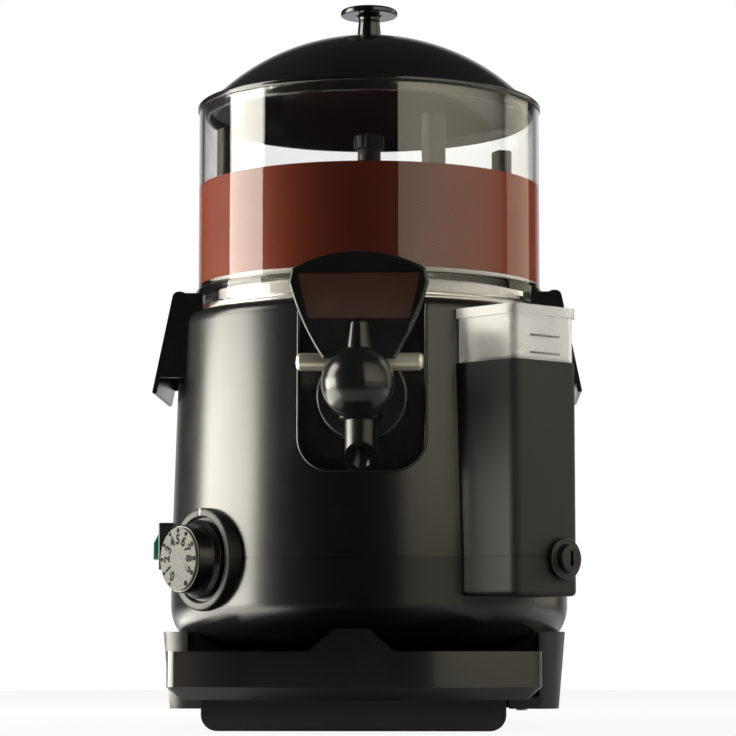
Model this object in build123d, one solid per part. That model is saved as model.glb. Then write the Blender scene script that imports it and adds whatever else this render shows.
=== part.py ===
from build123d import *
import math
import os

# A five-litre table-top hot chocolate dispenser with a water bath, a clear bowl, a slow stirrer,
# a lever tap, a water filler box, a thermostat dial and a pull-out drip tray.
# Millimetres, +Z up, the tap looks along -Y, the table is z = 0 and the barrel's axis is x = y = 0.
# An azimuth is measured from the front, and is positive towards +X. A reach is a distance from the axis.

# Barrel and its two shells
barrel_radius = 126.0
barrel_draft = 5.0
barrel_floor = 45.0
seam_height = 100.0
body_height = 258.0
floor_round = 28.0
shoulder_round = 9.0
shell_wall = 3.0
seam_groove_width = 0.8
seam_groove_depth = 0.7
barrel_top_radius = barrel_radius - barrel_draft

# Clearances and common edges
press_gap = 0.1
running_fit = 0.05
loose_gap = 0.4
overcut = 1.0
fine_edge = 0.6
small_edge = 1.0
soft_edge = 2.0

# Filler box on the barrel's right front
box_azimuth = 42.0
box_reach = barrel_radius + 39.0
box_face_width = 52.0
box_root_width = 60.0
box_corner = 6.0
box_bottom = seam_height - 23.0
box_top = body_height - 41.0
box_bottom_round = 3.0
box_root = 70.0

# Front recess that the tap stands in
recess_width = 75.0
recess_bottom = body_height - 106.0
recess_corner = 20.0
recess_depth = 16.0
recess_edge = 1.6
recess_floor = barrel_radius - recess_depth

# Base frame, plate and feet
base_half_width = barrel_radius - 8.5
base_front = barrel_radius - 26.0
base_rear = barrel_radius - 14.0
base_corner = 12.0
base_rear_corner = 85.0
base_bottom = 10.0
base_top = 56.0
base_draft = 5.0
base_wall = 4.0
base_plate_thickness = 2.0
foot_radius = 9.0
foot_taper = 1.0
foot_spacing = 136.0
foot_front = 42.0
foot_rear = 82.0
rail_width = 18.0
rail_thickness = 7.2

# Drip tray and its grid
tray_width = 207.0
tray_front = barrel_radius + 142.0
tray_rear = barrel_radius / 2
tray_top = 44.0
tray_bevel_top = 24.5
tray_bottom = 17.5
tray_bevel = 8.0
tray_bow = 27.0
tray_corner = 9.0
tray_wall = 2.5
tray_floor_clearance = 0.4
tray_side_clearance = 2.0
sump_width = 168.0
sump_front = tray_front - 29.5
sump_rear = tray_rear + 49.0
sump_corner = 9.0
grip_base = 47.0
grip_top = 19.0
grip_height = 12.0
grip_corner = 3.0
grid_thickness = 3.0
grid_depth = 132.0
grid_clearance = 1.2
grid_drop = 3.0
grid_slot_width = 5.0
grid_slot_pitch = 11.0
grid_slots_across = 17
grid_rib = 8.0
grid_ledge = 5.0

# Water tank, bowl well and clear bowl
tank_radius = barrel_top_radius - 16.5
tank_floor = body_height - 93.0
tank_floor_round = 8.0
sheet = 1.0
rim_radius = tank_radius + 4.5
tank_clearance = 0.6
well_radius = tank_radius - 6.5
well_floor = body_height - 66.0
well_floor_round = 14.0
gasket_thickness = 1.5
bowl_radius = tank_radius + 5.5
bowl_wall = 3.0
bowl_top = body_height + 133.0
bowl_flange_radius = bowl_radius + 1.5
bowl_flange_height = 12.5
bowl_foot_round = 5.0
standpipe_radius = 5.0
standpipe_top = bowl_top - 33.0
sleeve_radius = 8.0
outlet_height = body_height - 61.0
outlet_radius = 8.0
outlet_wall = 1.0
outlet_root = 4.0
heater_radius = tank_radius - 26.5
heater_rod = 3.5
heater_leg = 12.0
heater_gap_degrees = 24.0

# Lid
lid_brim_radius = bowl_radius + 1.0
lid_brim_thickness = 4.0
lid_dome_foot_radius = bowl_radius - 5.5
lid_dome_apex = bowl_top + 49.8
lid_dome_foot_round = 5.0
lid_wall = 2.5
lid_skirt_radius = bowl_radius - bowl_wall - 1.0
lid_skirt_depth = 5.3
lid_brim_round = 1.6
lid_brim_under_round = 1.2
lid_skirt_round = 0.8
lid_knob_top = lid_dome_apex + 19.2
lid_knob_radius = 18.5
lid_knob_thickness = 4.0
lid_stem_radius = 6.5
lid_stem_flare = 1.5
lid_stem_round = 2.5
lid_screw_depth = 10.0
lid_screw_head_radius = 7.0

# Stirrer and drive
shaft_radius = 3.5
shaft_bottom = seam_height + 17.0
shaft_recess = 2.5
shaft_chamfer = 0.5
bush_wall = 2.4
bush_flange = 3.0
bush_length = 12.0
bush_head = 1.5
column_radius = 7.5
column_clearance = 0.6
column_bottom = well_floor + 5.0
column_top = standpipe_top + 10.0
column_head_gap = 2.0
bar_orbit = bowl_radius - 13.0
bar_width = 13.0
bar_thickness = 11.0
bar_top = column_top + 6.0
bar_round = 3.0
bar_end_round = 1.2
bar_turn = 26.0
bar_count = 4
arm_clearance = 4.0
arm_height = 7.0
arm_width = 9.0
arm_crest = 0.6
well_blade_reach = well_radius - 7.0
well_blade_height = 12.0
well_blade_thickness = 3.0
blade_tilt = 35.0
thumb_nut_radius = 10.0
thumb_nut_height = 9.0
thumb_nut_flutes = 10
flute_radius = 1.8
flute_offset = 0.8
gear_teeth = 48
pinion_teeth = 16
tooth_module = 1.25
tooth_addendum = 0.8
tooth_dedendum = 1.2
tooth_half_width = 0.215
tooth_flank_angle = 20.0
gear_width = 8.0
gear_bottom = shaft_bottom + 12.0
gear_web = 4.0
gear_rim = 6.0
gear_hub_radius = 8.0
gear_hole_radius = 4.0
gear_hole_orbit = 16.0
gear_holes = 6
bracket_bottom = gear_bottom - 6.0
bracket_thickness = 2.5
bracket_margin = 10.0
bracket_corner = 8.0
pillar_radius = 4.5
pillar_inset = 7.0
motor_radius = 25.0
motor_length = 58.0
motor_foot_round = 4.0
motor_boss_radius = 8.0
motor_boss_length = 5.0
motor_shaft_radius = 3.0
motor_shaft_hole = 6.0

# Tap
tap_axis = barrel_radius + 8.5
tap_radius = 13.0
tap_bottom = outlet_height - 10.0
tap_top = outlet_height + 42.0
tap_cap_thickness = 3.0
tap_chamber_radius = 10.5
tap_port_radius = 5.0
tap_flange_radius = 28.0
tap_flange_thickness = 7.0
tap_flange_round = 2.5
tap_neck_radius = 12.0
neck_seal_gap = 0.5
piston_radius = 8.0
piston_guide_bottom = outlet_height + 6.0
piston_top = piston_guide_bottom + 18.0
piston_stem_radius = 4.5
plug_height = 4.5
groove_width = 1.6
groove_depth = 1.6
seal_width = 1.4
seal_depth = 1.5
guide_groove_height = 2.0
piston_window = 11.6
window_width = 9.0
spout_radius = 9.6
spout_bore = 6.5
spout_bottom = recess_bottom - 2.0
spout_lip_round = 2.0
spout_cut_angle = 42.0
spout_collar = 6.0
spout_seat = 4.0
cam_arm = 17.5
pin_reach = tap_axis + cam_arm
pin_height = outlet_height + 16.5
pin_radius = 5.25
pin_length = 75.0
pin_end_round = 3.0
ear_thickness = 4.0
ear_radius = 8.5
ear_root = 6.0
cam_radius = 5.5
cam_width = 7.6
cam_arm_thickness = 4.0
ball_radius = 21.5
ball_reach = pin_reach + 26.0
ball_height = pin_height - 15.0
shield_front = pin_reach + 16.0
shield_thickness = 7.0
shield_half_width = 41.0
shield_shoulder = 1.6
shield_top = pin_height + 64.0
shield_corner_height = pin_height + 53.5
shield_waist_height = pin_height + 45.5
shield_foot_half_width = 21.0
shield_foot_height = pin_height + 0.5
shield_bulge = (2.6, 0.8)
panel_top_width = 73.0
panel_bottom_width = 60.0
panel_bottom = pin_height + 23.5
panel_height = 27.8
panel_thickness = 1.0
panel_corner = 2.0
panel_chamfer = 0.6
panel_gap = 0.2
spring_wire = 1.2
spring_turns = 4.0
spring_mean_radius = 5.6

# Handles
handle_width = 90.0
handle_wall = 3.0
handle_foot_radius = bowl_flange_radius + 1.7
handle_foot_depth = 12.0
handle_top = body_height + 12.0
handle_drop = 64.5
handle_flare = 13.2
handle_tip_radius = barrel_radius + 9.0
handle_tip_height = handle_top - handle_drop
handle_foot_height = handle_tip_height + 25.0
handle_web_height = handle_tip_height + 10.0
handle_round = 4.0

# Filler cup, feed and drain
cup_top = box_top + 33.0
cup_wall = 2.0
cup_inset = 1.2
cup_rim_height = 6.0
cup_rim_out = 1.6
cup_barrel_gap = 0.8
nozzle_radius = 7.0
nozzle_length = 12.0
nozzle_reach = box_reach - 21.0
pipe_radius = 6.0
pipe_wall = 1.0
pipe_bend = 12.0
feed_height = box_top - 27.0
drain_reach = tank_radius - 16.0
drain_offset = 12.0
drain_height = seam_height - 1.0
drain_cap_radius = 12.5
drain_cap_rim = 3.5
drain_cap_grip_radius = 9.0
drain_cap_length = 8.0
drain_plug_length = 9.0
drain_slot_width = 2.4
drain_slot_depth = 2.0
drain_seal_width = 2.0

# Thermostat dial
dial_azimuth = -50.0
dial_height = seam_height
bezel_radius = 31.5
bezel_front = barrel_radius + 5.0
bezel_back = barrel_radius - 12.0
bezel_dish_radius = 26.5
bezel_dish_floor = barrel_radius + 2.0
bezel_bore = 16.0
dial_base_radius = 24.0
dial_skirt = 3.0
dial_neck = 2.5
dial_radius = 20.6
dial_back = barrel_radius + 3.2
dial_front = barrel_radius + 19.5
dial_face_radius = 19.3
dial_face_thickness = 1.5
spindle_radius = 3.0
spindle_recess = 5.0
spindle_depth = 4.0
thermostat_radius = 19.0
thermostat_length = 27.0
thermostat_flange = 9.0
thermostat_step = 3.0
thermostat_front = barrel_radius - shell_wall - 1.8

# Mains switch on the left side
switch_azimuth = -90.0
switch_height = seam_height + 11.0
switch_bezel_height = 30.0
switch_bezel_width = 22.0
switch_bezel_proud = 8.0
switch_corner = 2.5
switch_body_height = 26.6
switch_body_width = 18.0
switch_body_depth = 21.0
switch_wall = 1.5
switch_pocket_floor = barrel_radius - 7.0
rocker_pivot = barrel_radius + 4.0
rocker_width = 14.0
rocker_half_height = 10.0
rocker_root = 5.0
rocker_root_share = 0.7
rocker_pin_radius = 1.5
rocker_tilt = 14.0
rocker_end_rise = 6.5
rocker_middle_rise = 4.5
rocker_hollow = 12.0

# Rear cover and cable gland
cover_width = 112.0
cover_bottom = seam_height - 38.0
cover_top = body_height - 36.0
cover_face = barrel_radius + 8.0
cover_wall = 2.5
cover_corner = 12.0
louvre_count = 9
louvre_pitch = 11.0
louvre_width = 76.0
louvre_height = 4.0
louvre_first = cover_bottom + 50.0
rear_window_width = 70.0
gland_radius = 9.0
gland_neck_radius = 6.0
gland_bore = 4.0
gland_depth = 6.0
gland_end = cover_face + 8.0
gland_height = cover_bottom + 18.0
gland_flange = 3.0

# Screws
screw_radius = 2.0
screw_head_radius = 3.6
screw_head = 2.0
screw_head_round = 1.2
base_screw_length = 12.0
base_screw_spacing = 192.0
base_screw_rear = 55.0
base_boss_radius = 4.5
cover_screw_length = 19.0
cover_boss_radius = 4.5

# Heights that follow from the stack on the barrel's deck
tank_rim_top = body_height + sheet
gasket_top = tank_rim_top + gasket_thickness
bowl_bottom = gasket_top + sheet
deck_opening = tank_radius + tank_clearance


def outline(*points):
    """A flat face from (x, y) or (x, y, corner radius) points, taken in order."""
    corners = [point[:2] for point in points]
    radii = [point[2] if len(point) > 2 else 0 for point in points]
    return make_face(FilletPolyline(*corners, radius=radii, close=True))


def turned(*points):
    """A solid of revolution about Z from (radius, height) points with optional corner radii."""
    return revolve(Plane.XZ * outline(*points), Axis.Z)


def tube(outer, inner, low, high):
    """A plain ring or sleeve about Z."""
    return turned((inner, low), (outer, low), (outer, high), (inner, high))


def rod(radius, low, high):
    """A plain cylinder about Z."""
    return Pos(0, 0, low) * Cylinder(radius, high - low, align=(Align.CENTER, Align.CENTER, Align.MIN))


def block(x_low, x_high, y_low, y_high, z_low, z_high):
    """A block between two corners."""
    middle = ((x_low + x_high) / 2, (y_low + y_high) / 2, (z_low + z_high) / 2)
    return Pos(*middle) * Box(x_high - x_low, y_high - y_low, z_high - z_low)


def upright(face, low, high, taper=0):
    """A plan outline raised from one height to another."""
    return Pos(0, 0, low) * extrude(face, high - low, dir=(0, 0, 1), taper=taper)


def outwards(part, height):
    """Lays a part made about +Z down along the front direction, with its axis at a height."""
    return Pos(0, 0, height) * Rot(90, 0, 0) * part


def backwards(part, height):
    """Lays a part made about +Z down along the rear direction, with its axis at a height."""
    return Pos(0, 0, height) * Rot(-90, 0, 0) * part


def around(part, azimuth):
    """Turns a part made at the front to its azimuth."""
    return Rot(0, 0, azimuth) * part


def barrel_radius_at(height):
    """Outer radius of the barrel's drafted upper wall."""
    rise = (height - seam_height) / (body_height - seam_height)
    return barrel_radius - barrel_draft * max(rise, 0)


def barrel_solid(inset=0.0):
    """The whole barrel as one turned solid, its skin moved inwards by inset."""
    return turned(
        (0, barrel_floor + inset),
        (barrel_radius - inset, barrel_floor + inset, floor_round - inset),
        (barrel_radius - inset, seam_height),
        (barrel_top_radius - inset, body_height - inset, shoulder_round - inset),
        (0, body_height - inset),
    )


def box_plan(inset=0.0):
    """Plan of the filler box at the front: a trapezium that narrows outwards."""
    half_face = box_face_width / 2 - inset
    slope = (box_root_width - box_face_width) / 2 / (box_reach - barrel_radius)
    half_root = half_face + slope * (box_reach - inset - box_root)
    corner = box_corner - inset
    return outline(
        (-half_root, -box_root),
        (-half_face, inset - box_reach, corner),
        (half_face, inset - box_reach, corner),
        (half_root, -box_root),
    )


def box_solid(inset=0.0):
    """The filler box, reaching from inside the barrel to its outward face."""
    solid = upright(box_plan(inset), box_bottom + inset, box_top - inset)
    bottom_edges = solid.faces().sort_by(Axis.Z)[0].edges()
    if inset == 0:
        solid = fillet(bottom_edges, box_bottom_round)
    return around(solid, box_azimuth)


def recess_solid(grow=0.0):
    """The U-shaped front recess, open at the top, grown outwards by a wall."""
    half = recess_width / 2 + grow
    low = recess_bottom - grow
    high = body_height + shoulder_round
    corner = recess_corner + grow
    face = outline((-half, low, corner), (half, low, corner), (half, high), (-half, high))
    return Pos(0, grow - recess_floor, 0) * extrude(Plane.XZ * face, barrel_radius)


def recess_rim(skin):
    """Edges where the recess runs out through the barrel's side."""
    half = recess_width / 2 + fine_edge
    rim = []
    for edge in skin.edges():
        centre = edge.center()
        in_recess = abs(centre.X) < half and centre.Z > recess_bottom - fine_edge
        if in_recess and centre.Y < -recess_floor - fine_edge and edge.geom_type != GeomType.LINE:
            rim.append(edge)
    return rim


def body_shell():
    """Both shells in one piece, before the seam divides them."""
    skin = barrel_solid() + box_solid() - recess_solid()
    skin = fillet(recess_rim(skin), recess_edge)
    cavity = barrel_solid(shell_wall) + box_solid(shell_wall) - recess_solid(shell_wall)
    return skin - cavity


def shell_openings():
    """Holes through the shells for the tap, pipes, dial, switch, rear cover and tank."""
    tap_hole = outwards(rod(tap_neck_radius + press_gap, 0, barrel_radius), outlet_height)
    drain_bore = rod(pipe_radius + press_gap, barrel_top_radius, box_reach + overcut)
    drain_hole = Pos(drain_offset, 0, 0) * outwards(drain_bore, drain_height)
    cup_bore = rod(nozzle_radius + press_gap, box_top - 2 * shell_wall, box_top + overcut)
    cup_hole = Pos(0, -nozzle_reach, 0) * cup_bore
    dial_hole = outwards(rod(spindle_radius + overcut, tank_radius, barrel_radius + overcut), dial_height)
    switch_half_width = switch_body_width / 2 + press_gap
    switch_half_height = switch_body_height / 2 + press_gap
    switch_hole = block(
        -switch_half_width, switch_half_width, -barrel_radius - overcut, -tank_radius,
        switch_height - switch_half_height, switch_height + switch_half_height,
    )
    rear_low = louvre_first - louvre_pitch / 2
    rear_high = louvre_first + (louvre_count - 1) * louvre_pitch
    rear_half = rear_window_width / 2
    rear_window = block(-rear_half, rear_half, tank_radius, barrel_radius + overcut, rear_low, rear_high)
    tank_hole = rod(deck_opening, body_height - 2 * shell_wall, body_height + overcut)
    gland_hole = backwards(rod(gland_bore, tank_radius, cover_face), gland_height)
    return [
        tap_hole, around(drain_hole + cup_hole, box_azimuth), around(dial_hole, dial_azimuth),
        around(switch_hole, switch_azimuth), rear_window, tank_hole, gland_hole, *cover_screw_holes(),
    ]


def seam_groove():
    """Fine groove all round the outside, where the two shells meet."""
    half = seam_groove_width / 2
    band = block(-box_reach, box_reach, -box_reach, box_reach, seam_height - half, seam_height + half)
    return band - barrel_solid(seam_groove_depth) - box_solid(seam_groove_depth)


def upper_shell(shell):
    """Drafted upper shell with the deck, the tap recess and the upper part of the filler box."""
    return shell & block(-box_reach, box_reach, -box_reach, box_reach, seam_height, body_height + overcut)


def lower_shell(shell):
    """Lower pan of the barrel with the foot of the filler box."""
    return shell & block(-box_reach, box_reach, -box_reach, box_reach, 0, seam_height)


def base_outline(inset=0.0):
    """Plan of the base frame at its bottom edge."""
    half = base_half_width - inset
    corner = base_rear_corner - inset
    return outline(
        (-half, inset - base_front, base_corner), (half, inset - base_front, base_corner),
        (half, base_rear - inset, corner), (-half, base_rear - inset, corner),
    )


def base_frame():
    """U-shaped skirt that carries the barrel and guides the tray between its two legs."""
    skirt = upright(base_outline(), base_bottom, base_top, taper=-base_draft)
    seat = barrel_solid(-press_gap)
    pocket_half = tray_width / 2 + tray_side_clearance
    tray_wall_rear = tray_rear - tray_side_clearance
    pocket = block(
        -pocket_half, pocket_half, -2 * base_front, -tray_wall_rear,
        base_bottom + rail_thickness, base_top + overcut,
    )
    channel_half = pocket_half - rail_width
    channel = block(-channel_half, channel_half, -2 * base_front, -tray_wall_rear, 0, base_top)
    hollow_half = base_half_width - base_wall
    hollow_plan = outline(
        (-hollow_half, base_wall - tray_wall_rear), (hollow_half, base_wall - tray_wall_rear),
        (hollow_half, base_rear - base_wall, base_rear_corner - base_wall),
        (-hollow_half, base_rear - base_wall, base_rear_corner - base_wall),
    )
    roof = barrel_floor - base_wall
    hollow = upright(hollow_plan, 0, roof)
    frame = skirt - seat - pocket - channel - hollow
    boss = rod(base_boss_radius, base_bottom - roof - overcut, -base_plate_thickness)
    hole = rod(screw_radius + press_gap, -base_screw_length - overcut, 0)
    for place in base_screw_places():
        frame += place * boss
        frame -= place * hole
    return frame


def base_plate():
    """Pressed steel plate that closes the base frame from below."""
    half = base_half_width - base_wall - press_gap
    front = base_wall - tray_rear + tray_side_clearance + press_gap
    rear = base_rear - base_wall - press_gap
    corner = base_rear_corner - base_wall - press_gap
    plan = outline((-half, front), (half, front), (half, rear, corner), (-half, rear, corner))
    plate = upright(plan, base_bottom, base_bottom + base_plate_thickness)
    hole = rod(screw_radius + press_gap, -base_screw_length, overcut)
    return plate - [place * hole for place in base_screw_places()]


def foot_places():
    """Centres of the feet: four at the corners and one on the barrel's axis."""
    half = foot_spacing / 2
    return [(-half, -foot_front), (half, -foot_front), (half, foot_rear), (-half, foot_rear), (0, 0)]


def rubber_feet():
    """Rubber feet, wider at the foot than at the plate."""
    foot = turned(
        (0, 0), (foot_radius, 0, small_edge), (foot_radius - foot_taper, base_bottom), (0, base_bottom)
    )
    return [Pos(x, y, 0) * foot for x, y in foot_places()]


def tray_front_at(across_place, inset=0.0):
    """Front edge of the tray's plan at a place across it: an arc that falls back by the bow at the ends."""
    half = tray_width / 2
    bow_radius = (half ** 2 + tray_bow ** 2) / (2 * tray_bow)
    return bow_radius - tray_front - math.sqrt((bow_radius - inset) ** 2 - across_place ** 2)


def tray_outline(inset=0.0):
    """Plan of the drip tray, with a bowed front."""
    half = tray_width / 2 - inset
    rear = -tray_rear - inset
    side = tray_front_at(half, inset)
    corner = max(tray_corner - inset, small_edge)
    face = make_face([
        ThreePointArc((-half, side), (0, inset - tray_front), (half, side)), Line((half, side), (half, rear)),
        Line((half, rear), (-half, rear)), Line((-half, rear), (-half, side)),
    ])
    face = fillet(face.vertices().sort_by(Axis.Y)[:2], corner)
    return fillet(face.vertices().sort_by(Axis.Y)[-2:], corner / 2)


def sump_solid(inset=0.0):
    """The sump under the tray, with rounded lower corners across its width."""
    half = sump_width / 2 - inset
    low = tray_floor_clearance + inset
    high = tray_bevel_top
    corner = sump_corner - inset
    face = outline((-half, low, corner), (half, low, corner), (half, high), (-half, high))
    length = sump_front - sump_rear - 2 * inset
    return Pos(0, -sump_rear - inset, 0) * extrude(Plane.XZ * face, length)


def drip_tray():
    """Drip tray: bevelled pan, narrower sump below it and a raised grip on the front wall."""
    wall_part = upright(tray_outline(), tray_bevel_top, tray_top)
    bevel_part = loft([
        Pos(0, 0, tray_bottom) * tray_outline(tray_bevel), Pos(0, 0, tray_bevel_top) * tray_outline()
    ])
    basin = upright(tray_outline(tray_wall), tray_bevel_top, tray_top + overcut)
    basin_low = loft([
        Pos(0, 0, tray_bottom + tray_wall) * tray_outline(tray_bevel + tray_wall),
        Pos(0, 0, tray_bevel_top) * tray_outline(tray_wall),
    ])
    grip_end = tray_top + grip_height
    grip_face = outline(
        (-grip_base / 2, tray_top), (grip_base / 2, tray_top), (grip_top / 2, grip_end, grip_corner),
        (-grip_top / 2, grip_end, grip_corner),
    )
    grip = Pos(0, -tray_front / 2, 0) * extrude(Plane.XZ * grip_face, tray_front)
    grip &= upright(tray_outline() - tray_outline(tray_wall), tray_top, grip_end)
    ledge_half = tray_width / 2 - tray_wall
    ledge_top = tray_top - grid_drop - grid_thickness
    ledge_bottom = ledge_top - grid_ledge
    ledge_front = tray_wall - tray_front
    ledge_length = grid_depth - tray_corner - tray_bow
    ledges = []
    for side in (-1, 1):
        wall = side * ledge_half
        face = outline((wall, ledge_bottom), (wall, ledge_top), (wall - side * grid_ledge, ledge_top))
        ledges.append(Pos(0, ledge_front + grid_depth, 0) * extrude(Plane.XZ * face, ledge_length))
    pan = wall_part + bevel_part + sump_solid() - basin - basin_low - sump_solid(tray_wall)
    return pan + grip + ledges


def drip_grid():
    """Slotted grid that lies on the tray's ledges under the tap and follows the bowed front."""
    inset = tray_wall + grid_clearance
    half = tray_width / 2
    rear = inset - tray_front + grid_depth - 2 * grid_clearance
    reach = 2 * tray_front
    plan = tray_outline(inset) & outline((-half, -reach), (half, -reach), (half, rear), (-half, rear))
    low = tray_top - grid_drop - grid_thickness
    split = (tray_front_at(half - inset, inset) + rear) / 2
    slots = []
    for column in range(grid_slots_across):
        place = (column - (grid_slots_across - 1) / 2) * grid_slot_pitch
        front_end = tray_front_at(place, inset) + grid_rib
        rows = ((front_end, split - grid_rib / 2), (split + grid_rib / 2, rear - grid_rib))
        for slot_front, slot_rear in rows:
            face = Rot(0, 0, 90) * SlotOverall(slot_rear - slot_front, grid_slot_width)
            slot = upright(face, low - overcut, low + grid_thickness + overcut)
            slots.append(Pos(place, (slot_front + slot_rear) / 2, 0) * slot)
    return upright(plan, low, low + grid_thickness) - slots


def water_tank():
    """Deep-drawn steel tank that hangs by its rim in the deck, with a sleeve round the drive shaft."""
    inner = tank_radius - sheet
    floor_top = tank_floor + sheet
    sleeve_bore = sleeve_radius - sheet
    sleeve_top = well_floor - gasket_thickness
    tank = turned(
        (sleeve_bore, tank_floor), (tank_radius, tank_floor, tank_floor_round), (tank_radius, body_height),
        (rim_radius, body_height), (rim_radius, tank_rim_top), (inner, tank_rim_top),
        (inner, floor_top, tank_floor_round - sheet), (sleeve_radius, floor_top), (sleeve_radius, sleeve_top),
        (sleeve_bore, sleeve_top),
    )
    outlet_hole = outwards(rod(outlet_radius + 2 * sheet, well_radius, rim_radius), outlet_height)
    feed_hole = outwards(rod(pipe_radius + press_gap, well_radius, rim_radius), feed_height)
    drain_bore = rod(pipe_radius + press_gap, tank_floor - overcut, floor_top + overcut)
    drain_hole = Pos(drain_offset, -drain_reach, 0) * drain_bore
    leg_hole = rod(heater_rod + press_gap, tank_floor - overcut, floor_top + overcut)
    leg_holes = [place * leg_hole for place in heater_ends()]
    return tank - outlet_hole - around(feed_hole + drain_hole, box_azimuth) - leg_holes


def heater_ends():
    """Places of the heater's two legs, at the rear of the tank."""
    half_gap = heater_gap_degrees / 2
    return [Rot(0, 0, 90 + side * half_gap) * Pos(heater_radius, 0, 0) for side in (1, -1)]


def heating_element():
    """Tubular heater: an open ring on the tank's floor with two legs through it."""
    height = tank_floor + sheet + heater_rod + press_gap
    section = Plane.XZ * (Pos(heater_radius, height) * Circle(heater_rod))
    ring = revolve(section, Axis.Z, revolution_arc=360 - heater_gap_degrees)
    ring = Rot(0, 0, 90 + heater_gap_degrees / 2) * ring
    leg = rod(heater_rod, tank_floor - heater_leg, height) + Pos(0, 0, height) * Sphere(heater_rod)
    return ring + [place * leg for place in heater_ends()]


def bowl_well():
    """Steel well below the clear bowl, with the standpipe and the outlet pipe to the tap."""
    inner = well_radius - sheet
    bore = standpipe_radius - sheet
    well = turned(
        (bore, well_floor), (well_radius, well_floor, well_floor_round), (well_radius, gasket_top),
        (rim_radius, gasket_top), (rim_radius, bowl_bottom), (inner, bowl_bottom),
        (inner, well_floor + sheet, well_floor_round - sheet), (standpipe_radius, well_floor + sheet),
        (standpipe_radius, standpipe_top), (bore, standpipe_top),
    )
    pipe = outwards(rod(outlet_radius, inner - outlet_root, outlet_end()), outlet_height)
    inside = rod(inner, well_floor + sheet, bowl_bottom)
    passage_start = inner - 2 * outlet_root
    passage = outwards(rod(outlet_radius - outlet_wall, passage_start, outlet_end() + overcut), outlet_height)
    return well + (pipe - inside) - passage


def outlet_end():
    """Distance from the axis to the end of the well's outlet pipe, inside the tap's neck."""
    return recess_floor + tap_flange_thickness - sheet


def outlet_seal_end():
    """Distance from the axis to the outer end of the ring where the outlet pipe passes the tank's wall."""
    return tank_radius + sheet


def outlet_seal():
    """Silicone ring where the outlet pipe passes the tank's wall."""
    outer = outlet_radius + 2 * sheet - press_gap
    ring = tube(outer, outlet_radius + press_gap, tank_radius - outlet_root, outlet_seal_end())
    return outwards(ring, outlet_height)


def sleeve_seal():
    """Silicone washer between the tank's sleeve and the well's floor."""
    return tube(sleeve_radius, standpipe_radius + sheet, well_floor - gasket_thickness, well_floor)


def bowl_gasket():
    """Flat silicone gasket between the tank's rim and the well's rim."""
    return tube(rim_radius, well_radius + press_gap, tank_rim_top, gasket_top)


def bowl():
    """Clear bowl wall: a moulded tube on a thick foot ring."""
    foot_inner = well_radius - sheet
    foot_top = bowl_bottom + bowl_flange_height
    inner = bowl_radius - bowl_wall
    return turned(
        (foot_inner, bowl_bottom), (bowl_flange_radius, bowl_bottom, small_edge),
        (bowl_flange_radius, foot_top, small_edge), (bowl_radius, foot_top),
        (bowl_radius, bowl_top, fine_edge), (inner, bowl_top, fine_edge), (inner, foot_top, bowl_foot_round),
        (foot_inner, foot_top - bowl_wall, soft_edge),
    )


def lid():
    """Domed lid with a flared brim and a locating skirt inside the bowl."""
    brim_top = bowl_top + lid_brim_thickness
    rise = lid_dome_apex - brim_top
    sphere = (rise ** 2 + lid_dome_foot_radius ** 2) / (2 * rise)
    centre = lid_dome_apex - sphere
    inner_sphere = sphere - lid_wall
    skirt_inner = lid_skirt_radius - lid_wall
    half_angle = math.asin(lid_dome_foot_radius / sphere) / 2
    inner_angle = math.asin(skirt_inner / inner_sphere)
    outer_middle = (sphere * math.sin(half_angle), centre + sphere * math.cos(half_angle))
    half_turn = inner_angle / 2
    inner_middle = (inner_sphere * math.sin(half_turn), centre + inner_sphere * math.cos(half_turn))
    inner_end = (skirt_inner, centre + inner_sphere * math.cos(inner_angle))
    inner_apex = (0, lid_dome_apex - lid_wall)
    brim = FilletPolyline(
        (lid_dome_foot_radius, brim_top), (lid_brim_radius, brim_top), (lid_brim_radius, bowl_top),
        (lid_skirt_radius, bowl_top), (lid_skirt_radius, bowl_top - lid_skirt_depth),
        (skirt_inner, bowl_top - lid_skirt_depth), inner_end,
        radius=[lid_brim_round, lid_brim_under_round, 0, lid_skirt_round, lid_skirt_round],
    )
    face = make_face([
        ThreePointArc((0, lid_dome_apex), outer_middle, (lid_dome_foot_radius, brim_top)), *brim.edges(),
        ThreePointArc(inner_end, inner_middle, inner_apex), Line(inner_apex, (0, lid_dome_apex)),
    ])
    dome = revolve(Plane.XZ * face, Axis.Z)
    circles = dome.edges().filter_by(GeomType.CIRCLE)
    foot_circle = circles.sort_by_distance((lid_dome_foot_radius, 0, brim_top))[0]
    dome = fillet(foot_circle, lid_dome_foot_round)
    return dome - rod(screw_radius + press_gap, lid_dome_apex - 2 * lid_wall, lid_dome_apex + overcut)


def lid_knob():
    """Mushroom knob on the lid."""
    disc_bottom = lid_knob_top - lid_knob_thickness
    knob = turned(
        (0, lid_dome_apex), (lid_stem_radius + lid_stem_flare, lid_dome_apex, small_edge),
        (lid_stem_radius, disc_bottom, lid_stem_round), (lid_knob_radius, disc_bottom, small_edge),
        (lid_knob_radius, lid_knob_top, soft_edge), (0, lid_knob_top),
    )
    hole_top = lid_dome_apex + lid_screw_depth + overcut
    return knob - rod(screw_radius + press_gap, lid_dome_apex - overcut, hole_top)


def lid_screw():
    """Pan-head screw that holds the knob from inside the dome."""
    head_top = lid_dome_apex - lid_wall - loose_gap
    head_bottom = head_top - screw_head
    radius = lid_screw_head_radius
    shank = rod(screw_radius, head_bottom, lid_dome_apex + lid_screw_depth)
    head = turned((0, head_bottom), (radius, head_bottom, small_edge), (radius, head_top), (0, head_top))
    return head + shank


def arm_bottom():
    """Height of the stirrer's arms, just clear of the bowl's foot ring."""
    return bowl_bottom + bowl_flange_height + arm_clearance


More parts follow.
